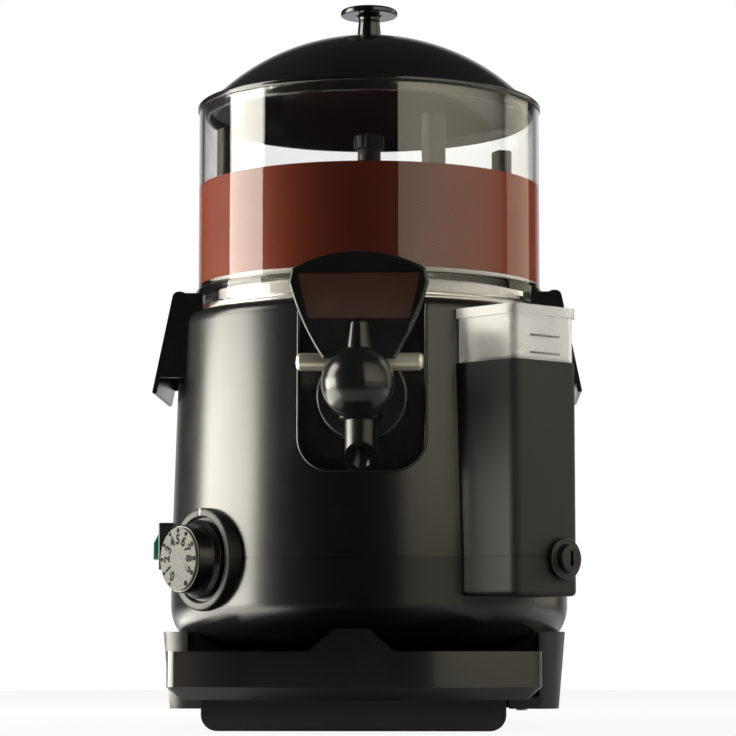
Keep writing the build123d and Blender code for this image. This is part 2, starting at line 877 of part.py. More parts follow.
def stirrer():
    """Stirrer moulding: a hollow column over the standpipe, four upright bars and two well blades."""
    bore = standpipe_radius + column_clearance
    hub_bottom = standpipe_top + column_head_gap
    shaft_bore = shaft_radius + running_fit
    column = turned(
        (bore, column_bottom), (column_radius, column_bottom), (column_radius, column_top, small_edge),
        (shaft_bore, column_top), (shaft_bore, hub_bottom), (bore, hub_bottom),
    )
    bar_plan = Pos(0, -bar_orbit) * RectangleRounded(bar_width, bar_thickness, bar_round)
    bar = upright(bar_plan, arm_bottom(), bar_top)
    bar = fillet(bar.faces().sort_by(Axis.Z)[-1].edges(), bar_end_round)
    arm_half = arm_width / 2
    crest_half = arm_crest * arm_half
    crest = arm_bottom() + arm_height
    arm_face = outline(
        (-arm_half, arm_bottom()), (arm_half, arm_bottom()), (crest_half, crest, soft_edge),
        (-crest_half, crest, soft_edge),
    )
    arm = Pos(0, loose_gap - column_radius, 0) * extrude(Plane.XZ * arm_face, bar_orbit - column_radius)
    blade_middle = column_bottom + well_blade_height / 2
    blade = block(
        -well_blade_thickness / 2, well_blade_thickness / 2, -well_blade_reach, overcut - column_radius,
        -well_blade_height / 2, well_blade_height / 2,
    )
    blade = Pos(0, 0, blade_middle) * Rot(0, blade_tilt, 0) * blade
    spokes = [Rot(0, 0, bar_turn + 360 * i / bar_count) * (bar + arm) for i in range(bar_count)]
    blades = [Rot(0, 0, bar_turn + 180 * i) * blade for i in range(2)]
    return column + spokes + (Part() + blades - rod(bore, 0, column_top))


def stirrer_nut():
    """Fluted thumb nut that locks the stirrer on the shaft."""
    nut_top = column_top + thumb_nut_height
    nut = turned(
        (0, column_top), (thumb_nut_radius, column_top, small_edge), (thumb_nut_radius, nut_top, soft_edge),
        (0, nut_top),
    )
    flute = rod(flute_radius, column_top - overcut, nut_top + overcut)
    flutes = [place * flute for place in PolarLocations(thumb_nut_radius + flute_offset, thumb_nut_flutes)]
    return nut - flutes - rod(shaft_radius + running_fit, column_top - overcut, shaft_top() + loose_gap)


def shaft_top():
    """Upper end of the drive shaft, inside the thumb nut."""
    return column_top + thumb_nut_height - shaft_recess


def drive_shaft():
    """Stirrer shaft from the gear up through the standpipe."""
    return chamfer(rod(shaft_radius, shaft_bottom, shaft_top()).edges(), shaft_chamfer)


def upper_bush():
    """Flanged bush at the top of the standpipe."""
    bore = shaft_radius + running_fit
    outer = standpipe_radius - sheet - press_gap / 2
    sleeve = tube(outer, bore, standpipe_top - bush_length, standpipe_top)
    return sleeve + tube(standpipe_radius, bore, standpipe_top, standpipe_top + bush_head)


def lower_bush():
    """Flanged bush in the motor bracket, which carries the gear."""
    bore = shaft_radius + running_fit
    outer = bore + bush_wall
    bracket_top = bracket_bottom + bracket_thickness
    flange_top = gear_bottom - 2 * press_gap
    sleeve = tube(outer, bore, bracket_bottom - bush_flange, bracket_top)
    return sleeve + tube(outer + bush_flange, bore, bracket_top, flange_top)


def gear_face(teeth):
    """Outline of a spur gear with straight flanks and a little backlash."""
    pitch_radius = tooth_module * teeth / 2
    tip_radius = pitch_radius + tooth_addendum * tooth_module
    root_radius = pitch_radius - tooth_dedendum * tooth_module
    half_pitch_tooth = tooth_half_width * math.pi * tooth_module
    flank = math.tan(math.radians(tooth_flank_angle))
    half_tip = half_pitch_tooth - tooth_addendum * tooth_module * flank
    half_root = half_pitch_tooth + tooth_dedendum * tooth_module * flank
    points = []
    for tooth in range(teeth):
        middle = 2 * math.pi * tooth / teeth
        for radius, half in (
            (root_radius, -half_root), (tip_radius, -half_tip),
            (tip_radius, half_tip), (root_radius, half_root),
        ):
            angle = middle + half / radius
            points.append((radius * math.cos(angle), radius * math.sin(angle)))
    return make_face(Polyline(*points, close=True))


def gear_spacing():
    """Centre distance of the gear and the pinion."""
    return tooth_module * (gear_teeth + pinion_teeth) / 2


def drive_gear():
    """Large spur gear on the stirrer shaft, with a thinner web and six holes."""
    gear_top = gear_bottom + gear_width
    rim_inner = tooth_module * gear_teeth / 2 - gear_rim
    gear = upright(gear_face(gear_teeth), gear_bottom, gear_top)
    recess = tube(rim_inner, gear_hub_radius, gear_bottom + gear_web, gear_top)
    hole = rod(gear_hole_radius, gear_bottom - overcut, gear_top)
    holes = [place * hole for place in PolarLocations(gear_hole_orbit, gear_holes)]
    return gear - recess - holes - rod(shaft_radius + running_fit, gear_bottom - overcut, gear_top + overcut)


def motor_pinion():
    """Motor shaft with its pinion."""
    half_tooth = 180 / pinion_teeth
    teeth = Rot(0, 0, -90 + half_tooth) * gear_face(pinion_teeth)
    pinion = upright(teeth, gear_bottom, gear_bottom + gear_width)
    shaft = rod(motor_shaft_radius, bracket_bottom + press_gap, gear_bottom + gear_width + overcut)
    return Pos(0, gear_spacing(), 0) * (pinion + shaft)


def bracket_plan():
    """Plan of the motor bracket, round the shaft and the motor."""
    half = motor_radius + bracket_margin
    front = -2 * bracket_margin
    rear = gear_spacing() + half
    corner = bracket_corner
    return outline((-half, front, corner), (half, front, corner), (half, rear, corner), (-half, rear, corner))


def pillar_places():
    """Centres of the four pillars under the bracket."""
    half = motor_radius + bracket_margin - pillar_inset
    front = pillar_inset - 2 * bracket_margin
    rear = gear_spacing() + half
    return [(-half, front), (half, front), (half, rear), (-half, rear)]


def motor_bracket():
    """Steel plate that carries the motor and the lower bush."""
    plate = upright(bracket_plan(), bracket_bottom, bracket_bottom + bracket_thickness)
    bush_hole = rod(shaft_radius + running_fit + bush_wall + press_gap, bracket_bottom - overcut, gear_bottom)
    motor_hole = Pos(0, gear_spacing(), 0) * rod(motor_shaft_hole, bracket_bottom - overcut, gear_bottom)
    return plate - bush_hole - motor_hole


def motor_pillars():
    """Four pillars between the barrel's floor and the bracket."""
    pillar = rod(pillar_radius, barrel_floor + shell_wall, bracket_bottom)
    return [Pos(x, y, 0) * pillar for x, y in pillar_places()]


def motor():
    """Gearmotor can, hung under the bracket."""
    low = bracket_bottom - motor_length
    can = turned(
        (0, low), (motor_radius, low, motor_foot_round), (motor_radius, bracket_bottom, soft_edge),
        (0, bracket_bottom),
    )
    boss = rod(motor_boss_radius, low - motor_boss_length, low)
    return Pos(0, gear_spacing(), 0) * (can + boss)


def across(part, reach, height):
    """Lays a part made about +Z along X, at a distance in front of the barrel's axis and a height."""
    return Pos(0, -reach, height) * Rot(0, 90, 0) * part


def side_plate(face, x_low, x_high):
    """Extrudes an outline of (y, z) points between two places along X."""
    return Pos(x_low, 0, 0) * extrude(Plane.YZ * face, x_high - x_low)


def hub_half_width():
    """Half the width of the lever's hub between the tap's ears."""
    return tap_radius - ear_thickness / 2 - loose_gap


def tap_body():
    """Tap moulding: wall flange, neck, upright piston tower and two ears for the hinge pin."""
    flange_face = recess_floor + tap_flange_thickness
    flange = turned(
        (0, recess_floor), (tap_flange_radius, recess_floor),
        (tap_flange_radius, flange_face, tap_flange_round),
        (0, flange_face),
    )
    neck = rod(tap_neck_radius, outlet_seal_end() + neck_seal_gap, tap_axis)
    tower = Pos(0, -tap_axis, 0) * rod(tap_radius, tap_bottom, tap_top)
    ear_inner = hub_half_width() + loose_gap
    front = pin_reach + ear_radius
    low = pin_height - ear_radius
    high = pin_height + ear_radius
    nose = ear_radius - loose_gap
    ear_face = outline(
        (-tap_axis, low - ear_root), (-front, low, nose), (-front, high, nose), (-tap_axis, high + ear_root)
    )
    ears = side_plate(ear_face, ear_inner, ear_inner + ear_thickness)
    ears += side_plate(ear_face, -ear_inner - ear_thickness, -ear_inner)
    socket = outwards(rod(outlet_radius + press_gap, tank_radius, outlet_end() + press_gap), outlet_height)
    port = outwards(rod(tap_port_radius, tank_radius, tap_axis), outlet_height)
    chamber = Pos(0, -tap_axis, 0) * rod(tap_chamber_radius, tap_bottom - overcut, piston_guide_bottom)
    bore = Pos(0, -tap_axis, 0) * rod(piston_radius + press_gap, tap_bottom - overcut, tap_top + overcut)
    slot_half = cam_width / 2 + 2 * loose_gap
    slot_bottom = pin_height - cam_radius - cam_arm_thickness / 2
    slot_top = pin_height + 2.5 * cam_radius
    slot = block(-slot_half, slot_half, -pin_reach, -tap_axis, slot_bottom, slot_top)
    pin_hole = across(rod(pin_radius + running_fit, -pin_length, pin_length), pin_reach, pin_height)
    hub_room = across(rod(ear_radius + loose_gap, -ear_inner, ear_inner), pin_reach, pin_height)
    spout_room = Pos(0, -tap_axis, 0) * rod(tap_radius + loose_gap, spout_bottom, tap_bottom)
    tap = outwards(flange + neck, outlet_height) + tower + ears
    return tap - socket - port - chamber - bore - slot - pin_hole - hub_room - spout_room


def tap_spout():
    """Spout cut off at a slope, with its screwed collar and the seat for the piston's plug."""
    collar_bottom = tap_bottom - spout_collar
    spout = turned(
        (spout_bore, spout_bottom), (spout_radius, spout_bottom, spout_lip_round),
        (spout_radius, collar_bottom, small_edge), (tap_radius, collar_bottom, small_edge),
        (tap_radius, tap_bottom), (piston_radius + press_gap, tap_bottom),
        (piston_radius + press_gap, tap_bottom - spout_seat), (spout_bore, tap_bottom - spout_seat),
    )
    slope = block(-tap_radius, tap_radius, -4 * tap_radius, tap_radius, -4 * tap_radius, 0)
    spout -= Pos(0, spout_radius, spout_bottom) * Rot(-spout_cut_angle, 0, 0) * slope
    return Pos(0, -tap_axis, 0) * spout


def seal_heights():
    """Middle heights of the piston's two seals: in the plug and at the foot of the guide."""
    plug_middle = tap_bottom - spout_seat + press_gap + plug_height / 2
    return plug_middle, piston_guide_bottom + guide_groove_height


def tap_piston():
    """Piston: a plug on its seat, a thin stem, and a guide with the window for the lever's cam."""
    plug_bottom = tap_bottom - spout_seat + press_gap
    plug_top = plug_bottom + plug_height
    piston = turned(
        (0, plug_bottom), (piston_radius, plug_bottom), (piston_radius, plug_top),
        (piston_stem_radius, plug_top, small_edge), (piston_stem_radius, piston_guide_bottom, small_edge),
        (piston_radius, piston_guide_bottom), (piston_radius, piston_top), (0, piston_top),
    )
    groove = tube(piston_radius + overcut, piston_radius - groove_depth, -groove_width / 2, groove_width / 2)
    grooves = [Pos(0, 0, height) * groove for height in seal_heights()]
    window = block(
        -window_width / 2, window_width / 2, -2 * piston_radius, 2 * piston_radius,
        pin_height - piston_window / 2, pin_height + piston_window / 2,
    )
    return Pos(0, -tap_axis, 0) * (piston - grooves - window)


def piston_seals():
    """Two rubber rings in the piston's grooves."""
    ring = tube(piston_radius + running_fit, piston_radius - seal_depth, -seal_width / 2, seal_width / 2)
    return [Pos(0, -tap_axis, height) * ring for height in seal_heights()]


def tap_cap():
    """Screw cap on top of the tower, which holds the spring down."""
    plug = rod(piston_radius, tap_top - tap_cap_thickness, tap_top)
    cap = turned(
        (0, tap_top), (tap_radius, tap_top), (tap_radius, tap_top + tap_cap_thickness, small_edge),
        (0, tap_top + tap_cap_thickness),
    )
    return Pos(0, -tap_axis, 0) * (plug + cap)


def tap_spring():
    """Return spring between the piston and the cap: one round wire wound as a helix."""
    low = piston_top + spring_wire / 2 + press_gap
    high = tap_top - tap_cap_thickness - spring_wire / 2 - press_gap
    path = Helix(pitch=(high - low) / spring_turns, height=high - low, radius=spring_mean_radius)
    section = Plane(origin=path @ 0, z_dir=path % 0) * Circle(spring_wire / 2)
    return Pos(0, -tap_axis, low) * sweep(section, path=path)


def shield_face():
    """Front outline of the lever's shield: an arched top and sides that sweep in to the hub."""
    half = shield_half_width
    corner = (half - shield_shoulder, shield_corner_height)
    waist = (half, shield_waist_height)
    foot = (shield_foot_half_width, shield_foot_height)
    bulge = ((waist[0] + foot[0]) / 2 + shield_bulge[0], (waist[1] + foot[1]) / 2 + shield_bulge[1])
    edges = [
        ThreePointArc((-corner[0], corner[1]), (0, shield_top), corner), Line(corner, waist),
        ThreePointArc(waist, bulge, foot), Line(foot, (-foot[0], foot[1])),
        ThreePointArc((-foot[0], foot[1]), (-bulge[0], bulge[1]), (-waist[0], waist[1])),
        Line((-waist[0], waist[1]), (-corner[0], corner[1])),
    ]
    return make_face(edges)


def panel_face(grow=0.0):
    """Outline of the panel let into the shield."""
    top = panel_bottom + panel_height + grow
    low = panel_bottom - grow
    half_top = panel_top_width / 2 + grow
    half_low = panel_bottom_width / 2 + grow
    corner = panel_corner
    return outline(
        (-half_low, low, corner), (half_low, low, corner), (half_top, top, corner), (-half_top, top, corner)
    )


def tap_lever():
    """One-piece lever: shield, neck and ball on a hub, with the cam that lifts the piston."""
    rear = shield_front - shield_thickness
    shield = Pos(0, -rear, 0) * extrude(Plane.XZ * shield_face(), shield_thickness)
    shield = fillet(shield.faces().sort_by(Axis.Y)[0].edges(), soft_edge)
    pocket_floor = shield_front - panel_thickness - panel_gap
    pocket = Pos(0, -pocket_floor, 0) * extrude(Plane.XZ * panel_face(panel_gap), shield_thickness)
    half = hub_half_width()
    hub = across(rod(ear_radius - loose_gap, -half, half), pin_reach, pin_height)
    hub_edge = ear_radius - small_edge
    web_face = outline(
        (-rear - overcut, ball_height + cam_radius), (-pin_reach, pin_height - hub_edge),
        (-pin_reach, pin_height + hub_edge), (-rear - overcut, panel_bottom + cam_radius),
    )
    web = side_plate(web_face, -half, half)
    ball = Pos(0, -ball_reach, ball_height) * Sphere(ball_radius)
    neck_top = panel_bottom - small_edge
    neck = Pos(0, -shield_front, 0) * turned(
        (0, ball_height), (ball_radius / 2, ball_height),
        (ball_radius / 4, neck_top, soft_edge), (0, neck_top),
    )
    cam_half = cam_width / 2
    arm_half = cam_arm_thickness / 2
    cam = across(rod(cam_radius, -cam_half, cam_half), tap_axis, pin_height)
    cam += block(-cam_half, cam_half, -pin_reach, -tap_axis, pin_height - arm_half, pin_height + arm_half)
    bore = across(rod(pin_radius + running_fit, -pin_length, pin_length), pin_reach, pin_height)
    return shield - pocket + web + hub + ball + neck + cam - bore


def badge_panel():
    """Plain panel in the shield's pocket, bevelled all round its front."""
    floor = shield_front - panel_thickness - panel_gap
    panel = Pos(0, -floor, 0) * extrude(Plane.XZ * panel_face(), panel_thickness)
    return chamfer(panel.faces().sort_by(Axis.Y)[0].edges(), panel_chamfer)


def lever_pin():
    """Stainless hinge pin with domed ends."""
    half = pin_length / 2
    pin = turned((0, -half), (pin_radius, -half, pin_end_round), (pin_radius, half, pin_end_round), (0, half))
    return across(pin, pin_reach, pin_height)


def handle(side):
    """Carrying handle: a hooked plate with two side webs, open underneath for the fingers."""
    half = handle_width / 2
    shoulder = handle_tip_radius - handle_flare
    slope = handle_flare / handle_drop
    inner_foot = handle_foot_radius + handle_wall
    inner_top = handle_top - handle_wall
    inner_shoulder = shoulder + slope * handle_wall - handle_wall
    section = outline(
        (handle_foot_radius, handle_foot_height), (handle_foot_radius, handle_top, handle_round),
        (shoulder, handle_top, handle_round), (handle_tip_radius, handle_tip_height, small_edge),
        (handle_tip_radius - handle_wall, handle_tip_height, small_edge),
        (inner_shoulder, inner_top), (inner_foot, inner_top), (inner_foot, handle_foot_height),
    )
    web_tip = handle_tip_radius - slope * (handle_web_height - handle_tip_height) - small_edge
    web_top = handle_top - small_edge
    web_root = barrel_top_radius / 2
    web_face = outline(
        (web_root, handle_web_height), (web_tip, handle_web_height), (shoulder - small_edge, web_top),
        (web_root, web_top),
    )
    hook = Pos(0, half, 0) * extrude(Plane.XZ * section, handle_width)
    webs = Pos(0, half, 0) * extrude(Plane.XZ * web_face, handle_wall)
    webs += Pos(0, handle_wall - half, 0) * extrude(Plane.XZ * web_face, handle_wall)
    keep_root = handle_foot_radius - handle_foot_depth
    keep = block(keep_root, handle_tip_radius + overcut, -half, half, handle_tip_height, handle_top)
    bowl_room = rod(bowl_flange_radius + overcut, body_height - overcut, handle_top + overcut)
    solid = (hook + webs & keep) - barrel_solid(-press_gap) - bowl_room
    solid = solid.solids().sort_by(SortBy.VOLUME)[-1]
    if side < 0:
        solid = mirror(solid, Plane.YZ)
    return solid


def cup_plan(inset):
    """Plan of the filler cup: the box's plan cut back to the barrel."""
    barrel = Circle(barrel_radius_at(box_top) + cup_barrel_gap)
    return box_plan(inset) - barrel


def filler_cup():
    """Clear filler cup on the box, open at the top, with a thick rim and a spigot below."""
    rim_bottom = cup_top - cup_rim_height
    wall = upright(cup_plan(cup_inset), box_top, cup_top)
    rim = upright(cup_plan(cup_inset - cup_rim_out), rim_bottom, cup_top)
    hollow = upright(offset(cup_plan(cup_inset), -cup_wall), box_top + cup_wall, cup_top + overcut)
    spigot = Pos(0, -nozzle_reach, 0) * rod(nozzle_radius, box_top - nozzle_length, box_top + cup_wall)
    bore = Pos(0, -nozzle_reach, 0) * rod(pipe_radius - pipe_wall, box_top - nozzle_length - overcut, cup_top)
    return around(wall + rim - hollow + spigot - bore, box_azimuth)


def bent_pipe(*points):
    """Round pipe along straight runs with bends, in the plane through the barrel's axis at the front."""
    path = FilletPolyline(*[(0, -reach, height) for reach, height in points], radius=pipe_bend)
    end = Plane(origin=path @ 0, z_dir=path % 0)
    return sweep(end * (Circle(pipe_radius) - Circle(pipe_radius - pipe_wall)), path=path)


def feed_pipe():
    """Pipe from the filler cup to the water tank."""
    pipe = bent_pipe(
        (nozzle_reach, box_top - nozzle_length), (nozzle_reach, feed_height),
        (tank_radius - 2 * sheet, feed_height),
    )
    return around(pipe, box_azimuth)


def drain_pipe():
    """Pipe from the tank's floor to the drain on the box's outward face."""
    pipe = bent_pipe(
        (drain_reach, tank_floor + sheet), (drain_reach, drain_height), (box_reach, drain_height)
    )
    return around(Pos(drain_offset, 0, 0) * pipe, box_azimuth)


def drain_cap():
    """Screw cap of the drain, with a stepped grip and a plug inside the pipe."""
    seat = box_reach + loose_gap
    plug = pipe_radius - pipe_wall - loose_gap
    plug_end = seat - drain_plug_length
    step = seat + drain_cap_rim
    end = seat + drain_cap_length
    grip = drain_cap_grip_radius
    cap = turned(
        (0, plug_end), (plug, plug_end, small_edge), (plug, seat), (drain_cap_radius, seat),
        (drain_cap_radius, step, small_edge), (grip, step, small_edge), (grip - small_edge, end, small_edge),
        (0, end),
    )
    slot_half = drain_slot_width / 2
    slot = block(-slot_half, slot_half, -grip / 2, grip / 2, end - drain_slot_depth, end + overcut)
    return around(Pos(drain_offset, 0, 0) * outwards(cap - slot, drain_height), box_azimuth)


def drain_seal():
    """Rubber ring on the drain cap's plug."""
    middle = box_reach + loose_gap - drain_plug_length / 2
    bore = pipe_radius - pipe_wall
    inner = bore - loose_gap + running_fit
    ring = tube(bore - running_fit, inner, middle - drain_seal_width / 2, middle + drain_seal_width / 2)
    return around(Pos(drain_offset, 0, 0) * outwards(ring, drain_height), box_azimuth)


def dial_bezel():
    """Round dished bezel that follows the barrel behind the dial."""
    bezel = turned(
        (bezel_bore, bezel_back), (bezel_radius, bezel_back), (bezel_radius, bezel_front, soft_edge),
        (bezel_dish_radius, bezel_front, small_edge), (bezel_dish_radius - small_edge, bezel_dish_floor),
        (bezel_bore, bezel_dish_floor),
    )
    return around(outwards(bezel, dial_height), dial_azimuth) - barrel_solid(-press_gap)


def dial_knob():
    """Thermostat knob with a flared skirt."""
    skirt_top = dial_back + dial_skirt
    knob = turned(
        (0, dial_back), (dial_base_radius, dial_back, fine_edge), (dial_base_radius, skirt_top, fine_edge),
        (dial_radius + fine_edge, skirt_top + dial_neck, soft_edge), (dial_radius, dial_front, small_edge),
        (0, dial_front),
    )
    knob -= rod(spindle_radius + running_fit, dial_back - overcut, spindle_end() + loose_gap)
    return around(outwards(knob, dial_height), dial_azimuth)


def spindle_end():
    """Outer end of the thermostat's spindle, inside the knob."""
    return dial_front - spindle_recess


def dial_face():
    """Thin metal face on the knob."""
    face = turned(
        (0, dial_front), (dial_face_radius, dial_front),
        (dial_face_radius, dial_front + dial_face_thickness, fine_edge),
        (0, dial_front + dial_face_thickness),
    )
    return around(outwards(face, dial_height), dial_azimuth)


def thermostat_spindle():
    """Spindle that turns with the knob."""
    spindle = rod(spindle_radius, thermostat_front - spindle_depth, spindle_end())
    return around(outwards(spindle, dial_height), dial_azimuth)


def thermostat():
    """Thermostat behind the shell."""
    rear = thermostat_front - thermostat_length
    can = thermostat_radius - thermostat_step
    step = thermostat_front - thermostat_flange
    body = turned(
        (0, rear), (can, rear, small_edge), (can, step), (thermostat_radius, step),
        (thermostat_radius, thermostat_front, small_edge), (0, thermostat_front),
    )
    bore_end = thermostat_front - spindle_depth - loose_gap
    body -= rod(spindle_radius + running_fit, bore_end, thermostat_front + overcut)
    return around(outwards(body, dial_height), dial_azimuth)


def switch_housing():
    """Rocker switch housing: a thick bezel outside the shell and a body through it."""
    face = barrel_radius + switch_bezel_proud
    bezel_face = RectangleRounded(switch_bezel_width, switch_bezel_height, switch_corner)
    bezel = Pos(0, 0, tank_radius) * extrude(bezel_face, face - tank_radius)
    bezel = fillet(bezel.faces().sort_by(Axis.Z)[-1].edges(), small_edge)
    bezel = outwards(bezel, switch_height) - barrel_solid(-press_gap)
    body_half_width = switch_body_width / 2
    body_half_height = switch_body_height / 2
    body = block(
        -body_half_width, body_half_width, -barrel_radius - overcut, switch_body_depth - barrel_radius,
        switch_height - body_half_height, switch_height + body_half_height,
    )
    pocket_half = body_half_width - switch_wall
    pocket = block(
        -pocket_half, pocket_half, -face - overcut, -switch_pocket_floor,
        switch_height - body_half_height + switch_wall, switch_height + body_half_height - switch_wall,
    )
    pin_bore = rod(rocker_pin_radius + press_gap, -body_half_width, body_half_width)
    pins = across(pin_bore, rocker_pivot, switch_height)
    return around(bezel + body - pocket - pins, switch_azimuth)


def switch_rocker():
    """Rocker, tilted with its lower half out, on two short pins."""
    half = rocker_half_height
    root_half = rocker_root_share * half
    face = outline(
        (rocker_root, -root_half, soft_edge), (-rocker_end_rise, -half, small_edge),
        (-rocker_middle_rise, 0, rocker_hollow), (-rocker_end_rise, half, small_edge),
        (rocker_root, root_half, soft_edge),
    )
    rocker = side_plate(face, -rocker_width / 2, rocker_width / 2)
    pin_half = switch_body_width / 2 - switch_wall / 2
    pins = Rot(0, 90, 0) * rod(rocker_pin_radius, -pin_half, pin_half)
    tilted = Rot(-rocker_tilt, 0, 0) * (rocker + pins)
    return around(Pos(0, -rocker_pivot, switch_height) * tilted, switch_azimuth)


def rear_cover():
    """Rear cover with louvres over the motor and the wiring."""
    half = cover_width / 2
    face = outline(
        (-half, cover_bottom, cover_corner), (half, cover_bottom, cover_corner),
        (half, cover_top, cover_corner), (-half, cover_top, cover_corner),
    )
    inner_half = half - cover_wall
    inner_corner = cover_corner - cover_wall
    inner_face = outline(
        (-inner_half, cover_bottom + cover_wall, inner_corner),
        (inner_half, cover_bottom + cover_wall, inner_corner),
        (inner_half, cover_top - cover_wall, inner_corner),
        (-inner_half, cover_top - cover_wall, inner_corner),
    )
    length = cover_face - tank_radius
    cover = Pos(0, cover_face, 0) * extrude(Plane.XZ * face, length)
    cover = fillet(cover.faces().sort_by(Axis.Y)[-1].edges(), soft_edge)
    hollow = Pos(0, cover_face - cover_wall, 0) * extrude(Plane.XZ * inner_face, length)
    louvre = extrude(Plane.XZ * SlotOverall(louvre_width, louvre_height), 2 * cover_wall)
    louvre = Pos(0, cover_face + overcut, 0) * louvre
    louvres = [Pos(0, 0, louvre_first + i * louvre_pitch) * louvre for i in range(louvre_count)]
    hole = backwards(rod(gland_neck_radius + press_gap, tank_radius, cover_face + overcut), gland_height)
    boss = rod(cover_boss_radius, -length, -cover_wall / 2)
    bosses = [place * boss for place in cover_screw_places()]
    slope = barrel_draft / (body_height - seam_height)
    foot = barrel_radius + slope * seam_height + press_gap
    seat = Pos(0, 0, body_height / 2) * Cone(foot, barrel_top_radius + press_gap, body_height)
    return cover - hollow - louvres - hole + bosses - cover_screw_holes() - seat


def cover_screw_places():
    """Places of the rear cover's four screws, along +Y from the cover's face."""
    half = cover_width / 2 - cover_corner
    heights = (cover_bottom + cover_corner, cover_top - cover_corner)
    return [Pos(x, cover_face, z) * Rot(-90, 0, 0) for z in heights for x in (-half, half)]


def cover_screw_holes():
    """Clearance holes of the cover's screws, through the cover and the shells behind it."""
    hole = rod(screw_radius + press_gap, -cover_screw_length - overcut, overcut)
    return [place * hole for place in cover_screw_places()]


def screw(length):
    """Round-head screw about Z, its head above z = 0."""
    radius = screw_head_radius
    head = turned((0, 0), (radius, 0), (radius, screw_head, screw_head_round), (0, screw_head))
    return head + rod(screw_radius, -length, 0)


def cover_screws():
    """Four screws of the rear cover."""
    return [place * screw(cover_screw_length) for place in cover_screw_places()]


def base_screw_places():
    """Places of the base plate's four screws, heads downwards."""
    half = base_screw_spacing / 2
    rows = (-foot_front, base_screw_rear)
    return [Pos(x, y, base_bottom) * Rot(180, 0, 0) for y in rows for x in (-half, half)]


def base_screws():
    """Four screws of the base plate."""
    return [place * screw(base_screw_length) for place in base_screw_places()]


def cable_gland():
    """Cable gland at the rear: a hexagonal nut on a threaded neck."""
    nut = Pos(0, 0, cover_face) * extrude(RegularPolygon(gland_radius, 6), gland_flange)
    rear = cover_face - gland_depth
    radius = gland_neck_radius
    neck = turned((0, rear), (radius, rear), (radius, gland_end, soft_edge), (0, gland_end))
    return backwards(nut + neck - rod(gland_bore, tank_radius, gland_end + overcut), gland_height)


shell = body_shell() - seam_groove()
for opening in shell_openings():
    shell -= opening

nodes = {
    "upper_shell": upper_shell(shell),
    "lower_shell": lower_shell(shell),
    "base_frame": base_frame(),
    "base_plate": base_plate(),
    "base_screws": base_screws(),
    "rubber_feet": rubber_feet(),
    "drip_tray": drip_tray(),
    "drip_grid": drip_grid(),
    "water_tank": water_tank(),
    "heating_element": heating_element(),
    "bowl_well": bowl_well(),
    "outlet_seal": outlet_seal(),
    "sleeve_seal": sleeve_seal(),
    "bowl_gasket": bowl_gasket(),
    "bowl": bowl(),
    "lid": lid(),
    "lid_knob": lid_knob(),
    "lid_screw": lid_screw(),
    "stirrer": stirrer(),
    "stirrer_nut": stirrer_nut(),
    "drive_shaft": drive_shaft(),
    "upper_bush": upper_bush(),
    "lower_bush": lower_bush(),
    "drive_gear": drive_gear(),
    "motor_pinion": motor_pinion(),
    "motor_bracket": motor_bracket(),
    "motor_pillars": motor_pillars(),
    "motor": motor(),
    "tap_body": tap_body(),
    "tap_spout": tap_spout(),
    "tap_piston": tap_piston(),
    "piston_seals": piston_seals(),
    "tap_cap": tap_cap(),
    "tap_spring": tap_spring(),
    "tap_lever": tap_lever(),
    "badge_panel": badge_panel(),
    "lever_pin": lever_pin(),
    "handle_left": handle(-1),
    "handle_right": handle(1),
    "filler_cup": filler_cup(),
    "feed_pipe": feed_pipe(),
    "drain_pipe": drain_pipe(),
    "drain_cap": drain_cap(),
    "drain_seal": drain_seal(),
    "dial_bezel": dial_bezel(),
    "dial_knob": dial_knob(),
    "dial_face": dial_face(),
    "thermostat_spindle": thermostat_spindle(),
    "thermostat": thermostat(),
    "switch_housing": switch_housing(),
    "switch_rocker": switch_rocker(),
    "rear_cover": rear_cover(),
    "cover_screws": cover_screws(),
    "cable_gland": cable_gland(),
}

os.makedirs("parts", exist_ok=True)
for name, shape in nodes.items():
    solids = shape if isinstance(shape, list) else shape.solids()
    whole = solids[0] if len(solids) == 1 else Compound(children=list(solids))
    export_step(whole, f"parts/{name}.step")
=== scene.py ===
# %% [markdown]
# # A hot chocolate dispenser
#
# The rigid parts come from the CAD model, which is loaded as a fixed frame and never moved. Here
# each part gets its finish, the small pieces that only the eye needs are modelled on top, and a
# plain studio is set up round it, with a camera at the product photograph's place. The modelled
# pieces are measured in millimetres and the studio in metres.

# %% Load the frame
import math

import bpy
from mathutils import Matrix, Vector


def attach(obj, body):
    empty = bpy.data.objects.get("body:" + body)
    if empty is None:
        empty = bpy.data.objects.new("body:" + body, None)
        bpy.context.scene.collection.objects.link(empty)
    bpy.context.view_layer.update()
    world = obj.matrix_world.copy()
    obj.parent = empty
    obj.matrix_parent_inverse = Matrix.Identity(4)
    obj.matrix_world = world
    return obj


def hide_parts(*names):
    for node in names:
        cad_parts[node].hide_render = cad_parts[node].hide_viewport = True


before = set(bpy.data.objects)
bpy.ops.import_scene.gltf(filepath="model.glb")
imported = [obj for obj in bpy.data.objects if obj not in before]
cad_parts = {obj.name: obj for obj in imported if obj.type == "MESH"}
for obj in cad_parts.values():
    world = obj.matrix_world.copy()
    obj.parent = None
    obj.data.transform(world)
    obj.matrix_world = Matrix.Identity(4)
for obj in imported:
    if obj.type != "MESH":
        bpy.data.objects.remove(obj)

bpy.ops.object.select_all(action="DESELECT")
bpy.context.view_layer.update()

# %% [markdown]
# ## Building blocks for the finishes
#
# Every finish starts from one Principled shader. An even colour would look like paper, because real
# surfaces vary a little in colour, gloss and relief. Painted textures could show that, but they need
# an unwrapped mesh. Noise needs none: it is worked out from Object coordinates, so it also stays on
# the part when the part moves. These helpers make noise, map it to a range, and use it to mix two
# colours or to raise a relief. The last one mixes two whole shaders.

# %% Starting a finish, and noise
finishes = {}


